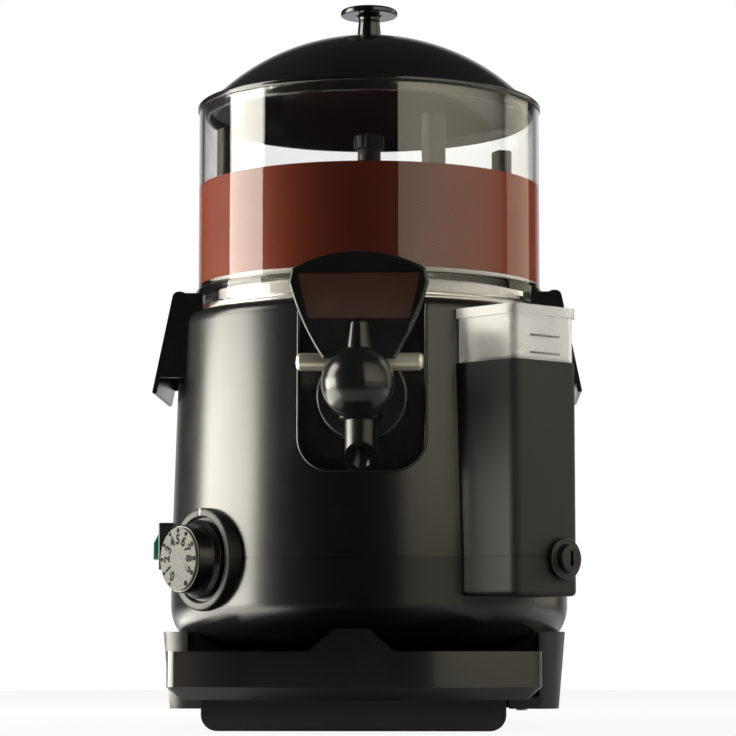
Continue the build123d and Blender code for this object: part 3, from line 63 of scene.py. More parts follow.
def start_material(name):
    """A new finish: its nodes, its shader, and the part's own coordinates."""
    finishes[name] = bpy.data.materials.new(name)
    finishes[name].use_nodes = True
    tree = finishes[name].node_tree
    place = tree.nodes.new("ShaderNodeTexCoord").outputs["Object"]
    return tree, tree.nodes["Principled BSDF"], place


def noise(tree, place, scale, detail=3.0, stretch=None):
    """Noise of a given number of cells per metre, stretched along an axis if asked."""
    if stretch:
        mapping = tree.nodes.new("ShaderNodeMapping")
        mapping.inputs["Scale"].default_value = stretch
        tree.links.new(place, mapping.inputs["Vector"])
        place = mapping.outputs["Vector"]
    texture = tree.nodes.new("ShaderNodeTexNoise")
    texture.inputs["Scale"].default_value = scale
    texture.inputs["Detail"].default_value = detail
    tree.links.new(place, texture.inputs["Vector"])
    return texture.outputs["Fac"]


# %% Ranges and colours
def spread(tree, value, low, high, start=0.3, end=0.7):
    """Maps a stretch of a value, by default the middle of a noise, to a range."""
    node = tree.nodes.new("ShaderNodeMapRange")
    node.inputs["From Min"].default_value = start
    node.inputs["From Max"].default_value = end
    node.inputs["To Min"].default_value = low
    node.inputs["To Max"].default_value = high
    tree.links.new(value, node.inputs["Value"])
    return node.outputs["Result"]


def blend_colours(tree, factor, first, second):
    """Mixes two colours by a factor."""
    node = tree.nodes.new("ShaderNodeMix")
    node.data_type = "RGBA"
    tree.links.new(factor, node.inputs["Factor"])
    node.inputs["A"].default_value = (*first, 1.0)
    node.inputs["B"].default_value = (*second, 1.0)
    return node.outputs["Result"]


def combine(tree, operation, first, second):
    """One step of arithmetic on two values."""
    node = tree.nodes.new("ShaderNodeMath")
    node.operation = operation
    tree.links.new(first, node.inputs[0])
    tree.links.new(second, node.inputs[1])
    return node.outputs[0]


# %% Relief and mixed shaders
def add_bump(tree, shader, height, strength, distance):
    """A relief from a height pattern."""
    node = tree.nodes.new("ShaderNodeBump")
    node.inputs["Strength"].default_value = strength
    node.inputs["Distance"].default_value = distance
    tree.links.new(height, node.inputs["Height"])
    tree.links.new(node.outputs["Normal"], shader.inputs["Normal"])


def mix_shaders(tree, factor, first, second, output="Material Output"):
    """Shows the first shader where the factor is 0 and the second where it is 1."""
    mixer = tree.nodes.new("ShaderNodeMixShader")
    tree.links.new(factor, mixer.inputs["Fac"])
    tree.links.new(first.outputs[0], mixer.inputs[1])
    tree.links.new(second.outputs[0], mixer.inputs[2])
    tree.links.new(mixer.outputs["Shader"], tree.nodes[output].inputs["Surface"])


# %% [markdown]
# ## Moulded plastic
#
# Most of the machine is moulded plastic. The mould leaves a fine spark-eroded grain, its wear changes
# the gloss slowly, and dust makes some places paler. Those are noises of three sizes: one for the
# relief, one for the roughness and one for the colour. Where a mould is etched more coarsely, a
# second helper raises the roughness beyond a plane.


# %% Moulded plastic
def moulded_plastic(
    name, colour, paler, gloss, grain=1500.0, relief=0.06, coat=0.0, coat_gloss=0.06, shine=0.5
):
    """Moulded plastic: fine grain, slow gloss changes and a breath of dust."""
    tree, shader, place = start_material(name)
    dust = spread(tree, noise(tree, place, scale=22.0, detail=5.0), 0.0, 1.0, start=0.42, end=0.68)
    tree.links.new(blend_colours(tree, dust, colour, paler), shader.inputs["Base Color"])
    wear = noise(tree, place, scale=45.0, detail=4.0)
    tree.links.new(spread(tree, wear, *gloss), shader.inputs["Roughness"])
    add_bump(tree, shader, noise(tree, place, grain, detail=2.0), relief, distance=0.0002)
    shader.inputs["Specular IOR Level"].default_value = shine
    shader.inputs["Coat Weight"].default_value = coat
    shader.inputs["Coat Roughness"].default_value = coat_gloss


def matte_zone(name, direction, start, end, rough):
    """Makes the part that lies far along a direction duller."""
    tree = finishes[name].node_tree
    shader = tree.nodes["Principled BSDF"]
    reach = tree.nodes.new("ShaderNodeVectorMath")
    reach.operation = "DOT_PRODUCT"
    tree.links.new(tree.nodes.new("ShaderNodeTexCoord").outputs["Object"], reach.inputs[0])
    reach.inputs[1].default_value = direction
    mixed = tree.nodes.new("ShaderNodeMix")
    tree.links.new(spread(tree, reach.outputs["Value"], 0.0, 1.0, start, end), mixed.inputs["Factor"])
    tree.links.new(shader.inputs["Roughness"].links[0].from_socket, mixed.inputs["A"])
    mixed.inputs["B"].default_value = rough
    tree.links.new(mixed.outputs["Result"], shader.inputs["Roughness"])


# %% [markdown]
# ## Metal
#
# Sheet and rod are drawn or brushed, which leaves fine lines along one direction. Anisotropic shading
# could imitate their sheen. A noise stretched along an axis is chosen instead, because it also shows
# the lines themselves, in colour, gloss and relief at once.


# %% Metal
def brushed_metal(name, colour, darker, gloss, stretch, metallic=1.0):
    """Metal with fine drawn lines along one axis."""
    tree, shader, place = start_material(name)
    shader.inputs["Metallic"].default_value = metallic
    lines = noise(tree, place, scale=1.0, detail=2.0, stretch=stretch)
    shade = spread(tree, lines, 0.0, 1.0)
    tree.links.new(blend_colours(tree, shade, colour, darker), shader.inputs["Base Color"])
    tree.links.new(spread(tree, lines, *gloss), shader.inputs["Roughness"])
    add_bump(tree, shader, lines, strength=0.08, distance=0.0001)


# %% [markdown]
# ## Clear and soft plastics
#
# The bowl is clear polycarbonate with a faint haze from handling, and the filler cup is frosted.
# Clear plastic that bends all light would throw the lamps' light in bright patches, which take very
# long to render cleanly. So it bends only what is seen: rays that carry shade or scattered light go
# straight through, by a Transparent shader of the same tint. Silicone and rubber are dull and
# slightly mottled, which one noise of many cells shows.


# %% Clear plastic
def clear_plastic(name, tint, haze, gloss, clear=1.0):
    """Clear plastic with faint handling haze."""
    tree, shader, place = start_material(name)
    shader.inputs["Transmission Weight"].default_value = clear
    shader.inputs["IOR"].default_value = 1.49
    smear = spread(tree, noise(tree, place, scale=30.0, detail=4.0), 0.0, 1.0, start=0.45, end=0.75)
    tree.links.new(blend_colours(tree, smear, tint, haze), shader.inputs["Base Color"])
    tree.links.new(spread(tree, smear, *gloss, start=0.0, end=1.0), shader.inputs["Roughness"])
    add_bump(tree, shader, noise(tree, place, scale=60.0, detail=1.0), strength=0.02, distance=0.0005)
    lit_through = tree.nodes.new("ShaderNodeBsdfTransparent")
    lit_through.inputs["Color"].default_value = (*tint, 1.0)
    ray = tree.nodes.new("ShaderNodeLightPath")
    light = combine(tree, "MAXIMUM", ray.outputs["Is Shadow Ray"], ray.outputs["Is Diffuse Ray"])
    mix_shaders(tree, light, shader, lit_through)


# %% Rubber
def soft_rubber(name, colour, paler):
    """Rubber or silicone: dull and slightly mottled."""
    tree, shader, place = start_material(name)
    mottle = spread(tree, noise(tree, place, scale=160.0, detail=4.0), 0.0, 1.0)
    tree.links.new(blend_colours(tree, mottle, colour, paler), shader.inputs["Base Color"])
    tree.links.new(spread(tree, mottle, 0.55, 0.75, start=0.0, end=1.0), shader.inputs["Roughness"])
    add_bump(tree, shader, noise(tree, place, scale=900.0, detail=2.0), strength=0.12, distance=0.0002)


# %% [markdown]
# ## One finish per kind of part
#
# The shells are satin, the lid, lever and tray are glossier, and the dial's bezel is matte. The
# filler box is moulded with the shell but etched more coarsely, so it gets the matte zone, beyond a
# plane that looks the box's way. Steel is drawn sheet, so its lines run round the tank and along the
# pin.

# %% Black plastics
black = (0.0095, 0.0090, 0.0080)
dusty_black = (0.012, 0.0115, 0.0102)
deep_black = (0.008, 0.008, 0.008)
dusty_deep_black = (0.014, 0.013, 0.013)

moulded_plastic("shell_black", black, dusty_black, gloss=(0.235, 0.26))
moulded_plastic("bezel_black", black, dusty_black, gloss=(0.46, 0.54), shine=0.4)
moulded_plastic(
    "base_black", (0.009, 0.0085, 0.008), dusty_black, gloss=(0.30, 0.40), coat=0.3, coat_gloss=0.2
)
moulded_plastic("tray_black", black, dusty_black, gloss=(0.18, 0.24), coat=0.25, coat_gloss=0.08)
moulded_plastic(
    "lid_black", deep_black, dusty_deep_black, gloss=(0.14, 0.2), grain=2200.0, relief=0.03, coat=0.3
)
moulded_plastic(
    "lever_black", deep_black, dusty_deep_black, gloss=(0.19, 0.25), grain=2200.0, relief=0.04
)
moulded_plastic("tap_black", (0.010, 0.010, 0.010), dusty_black, gloss=(0.24, 0.34))
moulded_plastic(
    "stirrer_black", (0.010, 0.009, 0.008), (0.014, 0.011, 0.009), gloss=(0.5, 0.6), shine=0.25
)

box_azimuth = 42.0
box_turn = math.radians(box_azimuth)
box_outwards = (math.sin(box_turn), -math.cos(box_turn), 0.0)
matte_zone("shell_black", box_outwards, start=0.122, end=0.130, rough=0.66)
print("black finishes:", list(finishes))

# %% Coloured, clear and soft finishes
moulded_plastic("natural_acetal", (0.66, 0.64, 0.58), (0.58, 0.55, 0.49), gloss=(0.35, 0.45))
moulded_plastic("phenolic_brown", (0.10, 0.05, 0.025), (0.14, 0.07, 0.035), gloss=(0.4, 0.5))
moulded_plastic(
    "badge_brown", (0.090, 0.039, 0.023), (0.110, 0.048, 0.029), gloss=(0.14, 0.2), grain=1800.0,
    relief=0.03, coat=0.3,
)
moulded_plastic(
    "rocker_green", (0.0, 0.16, 0.085), (0.01, 0.2, 0.11), gloss=(0.2, 0.28), grain=1800.0,
    relief=0.03, coat=0.3,
)
moulded_plastic(
    "motor_paint", (0.06, 0.06, 0.065), (0.08, 0.08, 0.08), gloss=(0.35, 0.5), grain=900.0, relief=0.12
)
clear_plastic("bowl_clear", (0.985, 0.985, 0.98), (0.96, 0.95, 0.93), gloss=(0.0, 0.03))
clear_plastic("cup_frosted", (0.90, 0.89, 0.85), (0.83, 0.82, 0.77), gloss=(0.22, 0.34), clear=0.58)
soft_rubber("pale_silicone", (0.60, 0.56, 0.49), (0.66, 0.62, 0.55))
soft_rubber("foot_rubber", (0.014, 0.014, 0.014), (0.024, 0.023, 0.022))
print("plastics and rubbers so far:", len(finishes))

# %% Metals
brushed_metal(
    "drawn_steel", (0.60, 0.58, 0.55), (0.47, 0.45, 0.42), gloss=(0.2, 0.34), stretch=(60.0, 60.0, 2400.0)
)
brushed_metal(
    "pin_steel", (0.85, 0.80, 0.64), (0.71, 0.66, 0.51), gloss=(0.30, 0.42),
    stretch=(40.0, 2600.0, 2600.0), metallic=0.7,
)
brushed_metal(
    "plated_steel", (0.55, 0.55, 0.56), (0.44, 0.44, 0.45), gloss=(0.25, 0.4), stretch=(700.0, 700.0, 700.0)
)
brushed_metal(
    "heater_dark", (0.20, 0.18, 0.16), (0.10, 0.085, 0.07), gloss=(0.35, 0.5), stretch=(300.0, 300.0, 300.0)
)
brushed_metal(
    "pinion_brass", (0.72, 0.52, 0.20), (0.58, 0.40, 0.14), gloss=(0.22, 0.34), stretch=(900.0, 900.0, 60.0)
)
brushed_metal(
    "dial_silver", (0.230, 0.230, 0.218), (0.175, 0.175, 0.166), gloss=(0.84, 0.92),
    stretch=(900.0, 900.0, 900.0),
)
print("finishes of the carried parts:", len(finishes))

# %% [markdown]
# ## Finishes on the carried parts
#
# Each CAD node keeps its mesh and only swaps its material. A table of finish and nodes says at a
# glance what is made of the same stuff, and the last line names any node that was forgotten.

# %% Hand the finishes out
carried = {
    "shell_black": ["upper_shell", "lower_shell", "handle_left", "handle_right"],
    "bezel_black": ["dial_bezel"],
    "base_black": ["base_frame", "rear_cover", "cable_gland", "switch_housing", "drip_grid"],
    "tray_black": ["drip_tray"],
    "lid_black": ["lid", "lid_knob"],
    "lever_black": ["tap_lever", "dial_knob"],
    "tap_black": ["tap_body", "tap_spout", "tap_cap", "drain_cap"],
    "stirrer_black": ["stirrer", "stirrer_nut"],
    "natural_acetal": ["tap_piston", "upper_bush", "lower_bush", "drive_gear"],
    "phenolic_brown": ["thermostat"],
    "badge_brown": ["badge_panel"],
    "rocker_green": ["switch_rocker"],
    "bowl_clear": ["bowl"],
    "cup_frosted": ["filler_cup"],
    "drawn_steel": [
        "water_tank", "bowl_well", "feed_pipe", "drain_pipe", "drive_shaft", "thermostat_spindle",
    ],
    "pin_steel": ["lever_pin"],
    "plated_steel": [
        "base_plate", "base_screws", "cover_screws", "lid_screw", "motor_bracket", "motor_pillars",
        "tap_spring",
    ],
    "heater_dark": ["heating_element"],
    "pinion_brass": ["motor_pinion"],
    "motor_paint": ["motor"],
    "dial_silver": ["dial_face"],
    "pale_silicone": ["bowl_gasket", "outlet_seal", "sleeve_seal", "piston_seals", "drain_seal"],
    "foot_rubber": ["rubber_feet"],
}

for finish, names in carried.items():
    for name in names:
        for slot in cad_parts[name].material_slots:
            slot.material = finishes[finish]
bare = set(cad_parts) - {name for names in carried.values() for name in names}
print("parts without a finish:", sorted(bare))

# %% [markdown]
# ## Modelling by hand, in code
#
# The pieces below are modelled with the operators that a person would use, in edit mode. Vertices
# could also be listed in code, but operators keep the steps readable. An operator works on what is
# selected, so one helper selects the faces that look one way. Another turns something that was made
# facing the front to where it belongs on the round barrel. The last one leaves edit mode, puts the
# place into the mesh, and gives the piece its finish and its body.

# %% Placing and selecting
mm = 0.001
upwards, downwards, backwards = Vector((0, 0, 1)), Vector((0, 0, -1)), Vector((0, 1, 0))
nearly_along = 0.9


def millimetres(*values):
    """A place given in millimetres, in metres."""
    return Vector(value * mm for value in values)


def facing(azimuth, reach, height):
    """Placement of something made facing -Y: turned to an azimuth, out to a reach, up to a height."""
    turn = Matrix.Rotation(math.radians(azimuth), 4, "Z")
    return turn @ Matrix.Translation(millimetres(0, -reach, height))


def select_faces(piece, direction):
    """In edit mode, selects exactly the faces that look along a direction."""
    bpy.ops.mesh.select_mode(type="FACE")
    bpy.ops.mesh.select_all(action="DESELECT")
    bpy.ops.object.mode_set(mode="OBJECT")
    for face in piece.data.polygons:
        face.select = face.normal.dot(direction) > nearly_along
    bpy.ops.object.mode_set(mode="EDIT")


# %% Making and finishing
def close_seams(distance):
    """In edit mode, merges the corners that lie within a distance of each other."""
    bpy.ops.object.mode_set(mode="EDIT")
    bpy.ops.mesh.select_all(action="SELECT")
    bpy.ops.mesh.remove_doubles(threshold=distance * mm)


def add_block(placement, width, depth, height):
    """A block of a size at a placement, selected all over in edit mode."""
    bpy.ops.mesh.primitive_cube_add(size=1.0)
    block = bpy.context.object
    block.matrix_world = placement @ Matrix.Diagonal((width * mm, depth * mm, height * mm, 1.0))
    bpy.ops.object.transform_apply(location=True, rotation=True, scale=True)
    bpy.ops.object.mode_set(mode="EDIT")
    bpy.ops.mesh.select_all(action="SELECT")
    return block


def finish_piece(piece, name, finish, body, smooth_angle=35.0):
    """Leaves edit mode, applies the place to the mesh, and gives the piece its finish and its body."""
    bpy.ops.object.mode_set(mode="OBJECT")
    bpy.ops.object.transform_apply(location=True, rotation=True, scale=True)
    bpy.ops.object.shade_smooth_by_angle(angle=math.radians(smooth_angle))
    piece.name = name
    piece.data.name = name
    piece.data.materials.clear()
    piece.data.materials.append(finishes[finish])
    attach(piece, body)
    bpy.ops.object.select_all(action="DESELECT")
    print(name, len(piece.data.polygons), "faces")


# %% [markdown]
# ## The drink in the bowl
#
# The chocolate fills the well and the bowl to a little over half. It could be a plain cylinder, but
# the bowl narrows at its foot ring and a drink climbs the wall. So the cylinder's lower end is inset
# and drawn down to pass the ring, and its top is inset twice to make a small meniscus. Its side
# reaches a fifth of a millimetre into the clear wall. Without that overlap there would be a film of
# air between them, which the real drink doesn't have, and its reflection would wash the colour out.

# %% Colour of the drink
tree, shader, place = start_material("chocolate")
slow = noise(tree, place, scale=14.0, detail=3.0, stretch=(1.0, 1.0, 2.4))
streak = noise(tree, place, scale=1.0, detail=3.0, stretch=(30.0, 30.0, 210.0))
milky = spread(tree, slow, 0.0, 0.6, start=0.35, end=0.7)
drink_colour = blend_colours(tree, milky, (0.150, 0.0250, 0.0090), (0.180, 0.0310, 0.0115))
tree.links.new(drink_colour, shader.inputs["Base Color"])
tree.links.new(spread(tree, streak, 0.28, 0.4), shader.inputs["Roughness"])
shader.inputs["Specular IOR Level"].default_value = 0.08
print("drink's colour has", len(tree.nodes), "nodes")

# %% Chocolate
drink_radius, drink_bottom, drink_level = 107.2, 277.4, 341.5
ring_step, well_depth = 12.2, 24.0
meniscus = 0.9
slope_width, slope_drop = 3.0, 0.5
still_width = 40.0
round_steps = 144

bpy.ops.mesh.primitive_cylinder_add(
    vertices=round_steps, radius=drink_radius * mm, depth=(drink_level - drink_bottom) * mm,
    location=millimetres(0, 0, (drink_level + drink_bottom) / 2),
)
drink = bpy.context.object
bpy.ops.object.mode_set(mode="EDIT")
select_faces(drink, downwards)
bpy.ops.mesh.inset(thickness=ring_step * mm)
bpy.ops.mesh.extrude_region_move(TRANSFORM_OT_translate={"value": millimetres(0, 0, -well_depth)})
select_faces(drink, upwards)
bpy.ops.mesh.inset(thickness=meniscus * mm, depth=-meniscus * mm)
bpy.ops.mesh.inset(thickness=slope_width * mm, depth=-slope_drop * mm)
bpy.ops.mesh.inset(thickness=still_width * mm, depth=0.0)
finish_piece(drink, "chocolate", "chocolate", "body")

# %% [markdown]
# ## Seal in the bowl's foot
#
# Inside the bowl's thick foot ring lies a pale silicone seal, which keeps the drink off the joint
# between the bowl and the steel well. Through the clear ring it shows as a whitish band. A lathe or
# Blender's Screw modifier could turn it. Here its section is drawn as one closed outline and spun
# round the bowl's axis, which keeps the section easy to read: each corner is a reach and a height.

# %% Foot seal
seal_inner, seal_bottom, seal_top = 94.9, 258.0, 277.2
seal_section = [
    (seal_inner, seal_bottom), (96.9, seal_bottom), (96.9, 271.2), (103.3, 273.1), (105.8, 275.0),
    (106.5, 277.0), (106.5, seal_top), (seal_inner, seal_top),
]
bpy.ops.mesh.primitive_circle_add(vertices=len(seal_section))
seal = bpy.context.object
for corner, (reach, height) in zip(seal.data.vertices, seal_section):
    corner.co = millimetres(reach, 0, height)
bpy.ops.object.mode_set(mode="EDIT")
bpy.ops.mesh.select_all(action="SELECT")
bpy.ops.mesh.spin(steps=round_steps, angle=math.tau, center=(0.0, 0.0, 0.0), axis=(0.0, 0.0, 1.0))
close_seams(distance=0.01)
bpy.ops.mesh.normals_make_consistent(inside=False)
finish_piece(seal, "foot_seal", "pale_silicone", "body")

# %% [markdown]
# ## Trim of the tap recess
#
# A fine round bead runs along the edge of the recess, down one side, round the two lower corners and
# up the other. It could be swept along the recess's own edge, but a CAD mesh has no such edge as a
# curve. So the path is worked out from the barrel's radius at each height, because the barrel is
# round and slightly tapered. A curve with a round bevel, made a mesh, gives the bead.

# %% Path of the trim
barrel_radius, barrel_draft, seam_height, body_height = 126.0, 5.0, 100.0, 258.0
trim_half, trim_bottom, trim_corner, trim_top = 38.4, 151.1, 20.9, 248.5
trim_sink = 0.4
side_points, side_step, corner_steps, middle_half = 11, 7.5, 12, 5.0


def barrel_skin(across, height):
    """The place on the barrel's front at a distance across and a height, sunk a little under the skin."""
    radius = barrel_radius - barrel_draft * (height - seam_height) / (body_height - seam_height)
    return across, trim_sink - math.sqrt(radius * radius - across * across), height


right_side = [(trim_half, trim_top - side_step * step) for step in range(side_points)]
for step in range(1, corner_steps + 1):
    turn = math.radians(90.0 * step / corner_steps)
    right_side.append((
        trim_half - trim_corner * (1 - math.cos(turn)), trim_bottom + trim_corner * (1 - math.sin(turn))
    ))
left_side = [(-across, up) for across, up in reversed(right_side)]
outline = right_side + [(middle_half, trim_bottom), (-middle_half, trim_bottom)] + left_side
print("trim path", len(outline), "points")

# %% Recess trim
bead_radius = 1.0
bpy.ops.curve.primitive_nurbs_path_add()
trim = bpy.context.object
trim.data.splines.clear()
spline = trim.data.splines.new("POLY")
spline.points.add(len(outline) - 1)
for point, (across, up) in zip(spline.points, outline):
    point.co = (*millimetres(*barrel_skin(across, up)), 1.0)
trim.data.dimensions = "3D"
trim.data.bevel_depth = bead_radius * mm
trim.data.bevel_resolution = 3
trim.data.use_fill_caps = True
bpy.ops.object.convert(target="MESH")
trim = bpy.context.object
close_seams(distance=0.01)
bpy.ops.mesh.normals_make_consistent(inside=False)
finish_piece(trim, "recess_trim", "lever_black", "body", smooth_angle=50.0)

# %% [markdown]
# ## Rocker of the mains switch
#
# The rocker's face is crowned: two flat halves meet in a ridge at the middle. When the switch is on,
# the lower half stands straight out of the housing and the upper half slopes in. It could be lofted
# from two sections. A block is quicker: it is cut across its middle, the new edge is pulled out to
# make the ridge, the back is drawn in, the edges are rounded, and the whole is tilted on its pins.

# %% Rocker
rocker_width, rocker_depth, rocker_height, rocker_forward = 14.0, 10.6, 20.0, 0.3
ridge_rise, back_share, rocker_edge, rocker_tilt = 2.4, 0.7, 0.8, -14.0
switch_azimuth, pin_reach, pin_height = -90.0, 130.0, 111.0

middle = Matrix.Translation(millimetres(0, -rocker_forward, 0))
rocker = add_block(middle, rocker_width, rocker_depth, rocker_height)
bpy.ops.mesh.bisect(plane_co=(0.0, 0.0, 0.0), plane_no=(0.0, 0.0, 1.0))
bpy.ops.object.mode_set(mode="OBJECT")
for corner in rocker.data.vertices:
    corner.select = corner.co.y < 0 and abs(corner.co.z) < mm
bpy.ops.object.mode_set(mode="EDIT")
bpy.ops.mesh.select_mode(type="VERT")
bpy.ops.transform.translate(value=millimetres(0, -ridge_rise, 0))
select_faces(rocker, backwards)
bpy.ops.transform.resize(value=(1.0, 1.0, back_share))
bpy.ops.mesh.select_all(action="SELECT")
bpy.ops.mesh.bevel(offset=rocker_edge * mm, segments=3)
bpy.ops.object.mode_set(mode="OBJECT")
tilt = Matrix.Rotation(math.radians(rocker_tilt), 4, "X")
rocker.matrix_world = facing(switch_azimuth, pin_reach, pin_height) @ tilt
finish_piece(rocker, "crowned_rocker", "rocker_green", "rocker")
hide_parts("switch_rocker")

# %% [markdown]
# ## Level lines on the filler cup
#
# Two raised bars on the cup's outward face show how much water the bath needs. They could be a colour
# in the cup's own material, but would then have no edge to catch light. So each is a long thin block
# with bevelled edges, laid on the face, which looks the filler box's way.


# %% Level lines
def worn_print(name, colour, paler, cells, rough):
    """Printed ink, worn paler in places."""
    tree, shader, place = start_material(name)
    worn = spread(tree, noise(tree, place, cells, detail=3.0), 0.0, 1.0)
    tree.links.new(blend_colours(tree, worn, colour, paler), shader.inputs["Base Color"])
    shader.inputs["Roughness"].default_value = rough
    return shader


worn_print("grey_ink", (0.10, 0.10, 0.095), (0.17, 0.17, 0.16), cells=700.0, rough=0.5)
line_length, line_rise, line_width, line_edge = 24.0, 0.5, 1.1, 0.15
cup_face, line_heights = 163.95, (232.0, 221.5)

for number, height in enumerate(line_heights, start=1):
    line = add_block(facing(box_azimuth, cup_face, height), line_length, line_rise, line_width)
    bpy.ops.mesh.bevel(offset=line_edge * mm, segments=2)
    finish_piece(line, f"level_line_{number}", "grey_ink", "body")

# %% [markdown]
# ## Marks of the dial
#
# The knob's metal face carries a ring of small dark dots that grow with the heat and a ring of
# numbers inside it. An image could hold them, but it would blur close up. So a dot is a short
# cylinder with a rounded top, and a number is a text object, extruded by a tenth of a millimetre and
# made a mesh. The ink is dull, so that the dark marks don't mirror the lamps that the face mirrors.

# %% Inks of the dial
worn_print("white_print", (0.74, 0.73, 0.70), (0.62, 0.61, 0.58), cells=900.0, rough=0.45)
dull_ink = worn_print("dark_print", (0.020, 0.020, 0.019), (0.035, 0.034, 0.032), cells=900.0, rough=0.8)
dull_ink.inputs["Specular IOR Level"].default_value = 0.05
print("finishes with the drink and the inks:", len(finishes))

# %% A dot
dial_azimuth, dial_height, dial_front = -50.0, 100.0, 147.0
dot_radius, dot_growth, dot_length, dot_edge, dot_ring, dot_rise = 1.0, 0.06, 0.6, 0.2, 17.2, 0.1
face_middle = facing(dial_azimuth, dial_front, dial_height)
face_outwards = Matrix.Rotation(math.radians(90), 4, "X")


def add_dot(step, angle):
    """A dot on the outer ring, larger at each step."""
    bpy.ops.mesh.primitive_cylinder_add(
        vertices=20, radius=(dot_radius + dot_growth * step) * mm, depth=dot_length * mm
    )
    dot = bpy.context.object
    bpy.ops.object.mode_set(mode="EDIT")
    select_faces(dot, upwards)
    bpy.ops.mesh.bevel(offset=dot_edge * mm, segments=3)
    bpy.ops.object.mode_set(mode="OBJECT")
    across, up = dot_ring * math.sin(angle), dot_ring * math.cos(angle)
    dot.matrix_world = face_middle @ Matrix.Translation(millimetres(across, -dot_rise, up)) @ face_outwards
    return dot


# %% A number
figure_size, figure_weight, figure_depth, figure_ring, figure_rise = 8.2, 0.3, 0.1, 11.6, 0.05


def add_figure(step, angle):
    """A number on the inner ring, with its head outwards."""
    bpy.ops.object.text_add()
    text = bpy.context.object
    text.data.body = str(step)
    text.data.size = figure_size * mm
    text.data.offset = figure_weight * mm
    text.data.extrude = figure_depth * mm
    text.data.align_x = "CENTER"
    text.data.align_y = "CENTER"
    turn = Matrix.Rotation(angle, 4, "Y")
    lift = Matrix.Translation(millimetres(0, -figure_rise, figure_ring))
    text.matrix_world = face_middle @ turn @ lift @ face_outwards
    bpy.ops.object.convert(target="MESH")
    return bpy.context.object


# %% Rings of the dial
dial_steps, first_angle, step_angle = 11, -150, 30

dots, figures = [], []
for step in range(dial_steps):
    angle = math.radians(first_angle + step_angle * step)
    dots.append(add_dot(step, angle))
    if step < dial_steps - 1:
        figures.append(add_figure(step, angle))
print(len(dots), "dots and", len(figures), "numbers")


# %% Join the rings
def join_prints(prints, name):
    """Joins the prints of one ring, closes their seams and hands them over."""
    bpy.ops.object.select_all(action="DESELECT")
    for part in prints:
        part.select_set(True)
    bpy.context.view_layer.objects.active = prints[0]
    bpy.ops.object.join()
    close_seams(distance=0.001)
    finish_piece(bpy.context.object, name, "dark_print", "dial")


join_prints(dots, "dial_dots")
join_prints(figures, "dial_numbers")

# %% [markdown]
# ## Index of the dial
#
# One pale tick at the top of the bezel shows which number is set. It stays on the body while the
# knob turns, so it is a piece of its own: a small block with bevelled edges, half sunk in the bezel.

# %% Index tick
tick_width, tick_rise, tick_length, tick_edge = 1.6, 0.4, 4.2, 0.12
bezel_front, tick_up = 131.0, 29.0
tick = add_block(
    facing(dial_azimuth, bezel_front, dial_height + tick_up), tick_width, tick_rise, tick_length
)
bpy.ops.mesh.bevel(offset=tick_edge * mm, segments=2)
finish_piece(tick, "dial_tick", "white_print", "body")

# %% [markdown]
# ## Floor and backdrop
#
# The product stands on a pale floor before a white backdrop. A lit white wall would light the object
# too, from all sides. So the backdrop is the world, and a Light Path node makes it white only for the
# camera, behind the clear parts, and in mirrored rays that go straight back. For all other rays it is
# dim, as in a studio whose front is unlit. The floor is almost white to the camera in the same way.

# %% Floor
floor_radius, floor_middle, floor_glow = 1.1, 0.5, 0.92
bpy.ops.mesh.primitive_circle_add(
    vertices=96, radius=floor_radius, fill_type="NGON", location=(0.0, floor_middle, 0.0)
)
floor = bpy.context.object
floor.name = "floor"
bpy.ops.object.transform_apply(location=True)
tree, shader, _ = start_material("pale_floor")
shader.inputs["Base Color"].default_value = (0.70, 0.70, 0.69, 1.0)
shader.inputs["Roughness"].default_value = 0.6
glow = tree.nodes.new("ShaderNodeEmission")
ray = tree.nodes.new("ShaderNodeLightPath")
seen = spread(tree, ray.outputs["Is Camera Ray"], 0.0, floor_glow, start=0.0, end=1.0)
mix_shaders(tree, seen, shader, glow)
floor.data.materials.append(finishes["pale_floor"])
bpy.ops.object.select_all(action="DESELECT")
print("floor", floor_radius, "m in radius")

# %% Backdrop
world = bpy.data.worlds.new("studio")
bpy.context.scene.world = world
world.use_nodes = True
tree = world.node_tree
dim = tree.nodes["Background"]
dim.inputs["Color"].default_value = (0.03, 0.03, 0.03, 1.0)
white = tree.nodes.new("ShaderNodeBackground")
white.inputs["Color"].default_value = (1.0, 1.0, 1.0, 1.0)
ray = tree.nodes.new("ShaderNodeLightPath")
heading = tree.nodes.new("ShaderNodeSeparateXYZ")
tree.links.new(tree.nodes.new("ShaderNodeTexCoord").outputs["Generated"], heading.inputs["Vector"])

bounces = combine(tree, "ADD", ray.outputs["Glossy Depth"], ray.outputs["Diffuse Depth"])
straight = spread(tree, bounces, 1.0, 0.0, start=0.0, end=1.0)
through = combine(tree, "MULTIPLY", ray.outputs["Is Transmission Ray"], straight)
direct = combine(tree, "MAXIMUM", ray.outputs["Is Camera Ray"], through)
behind = spread(tree, heading.outputs["Y"], 0.0, 1.0, start=0.86, end=1.0)
mirrored = combine(tree, "MULTIPLY", ray.outputs["Is Glossy Ray"], behind)
shown = combine(tree, "MAXIMUM", direct, mirrored)
mix_shaders(tree, shown, dim, white, output="World Output")
print("backdrop has", len(tree.nodes), "nodes")

# %% [markdown]
# ## Lamps
#
# A black glossy object is drawn by what it mirrors, and its pale and coloured parts by what lights
# them. One set of lamps can't suit both, so there are two. The panels are only mirrored: on the left
# a tall strip, a low panel and one on the floor draw the long highlight of the barrel and the bowl,
# and on the right a wide panel lays the veil on the bowl, with a low one for the tray and a weaker
# one behind. The other lamps only light: one at each side for the drink and the cup, one above, a
# weak one in front, and a narrow one for the tap.


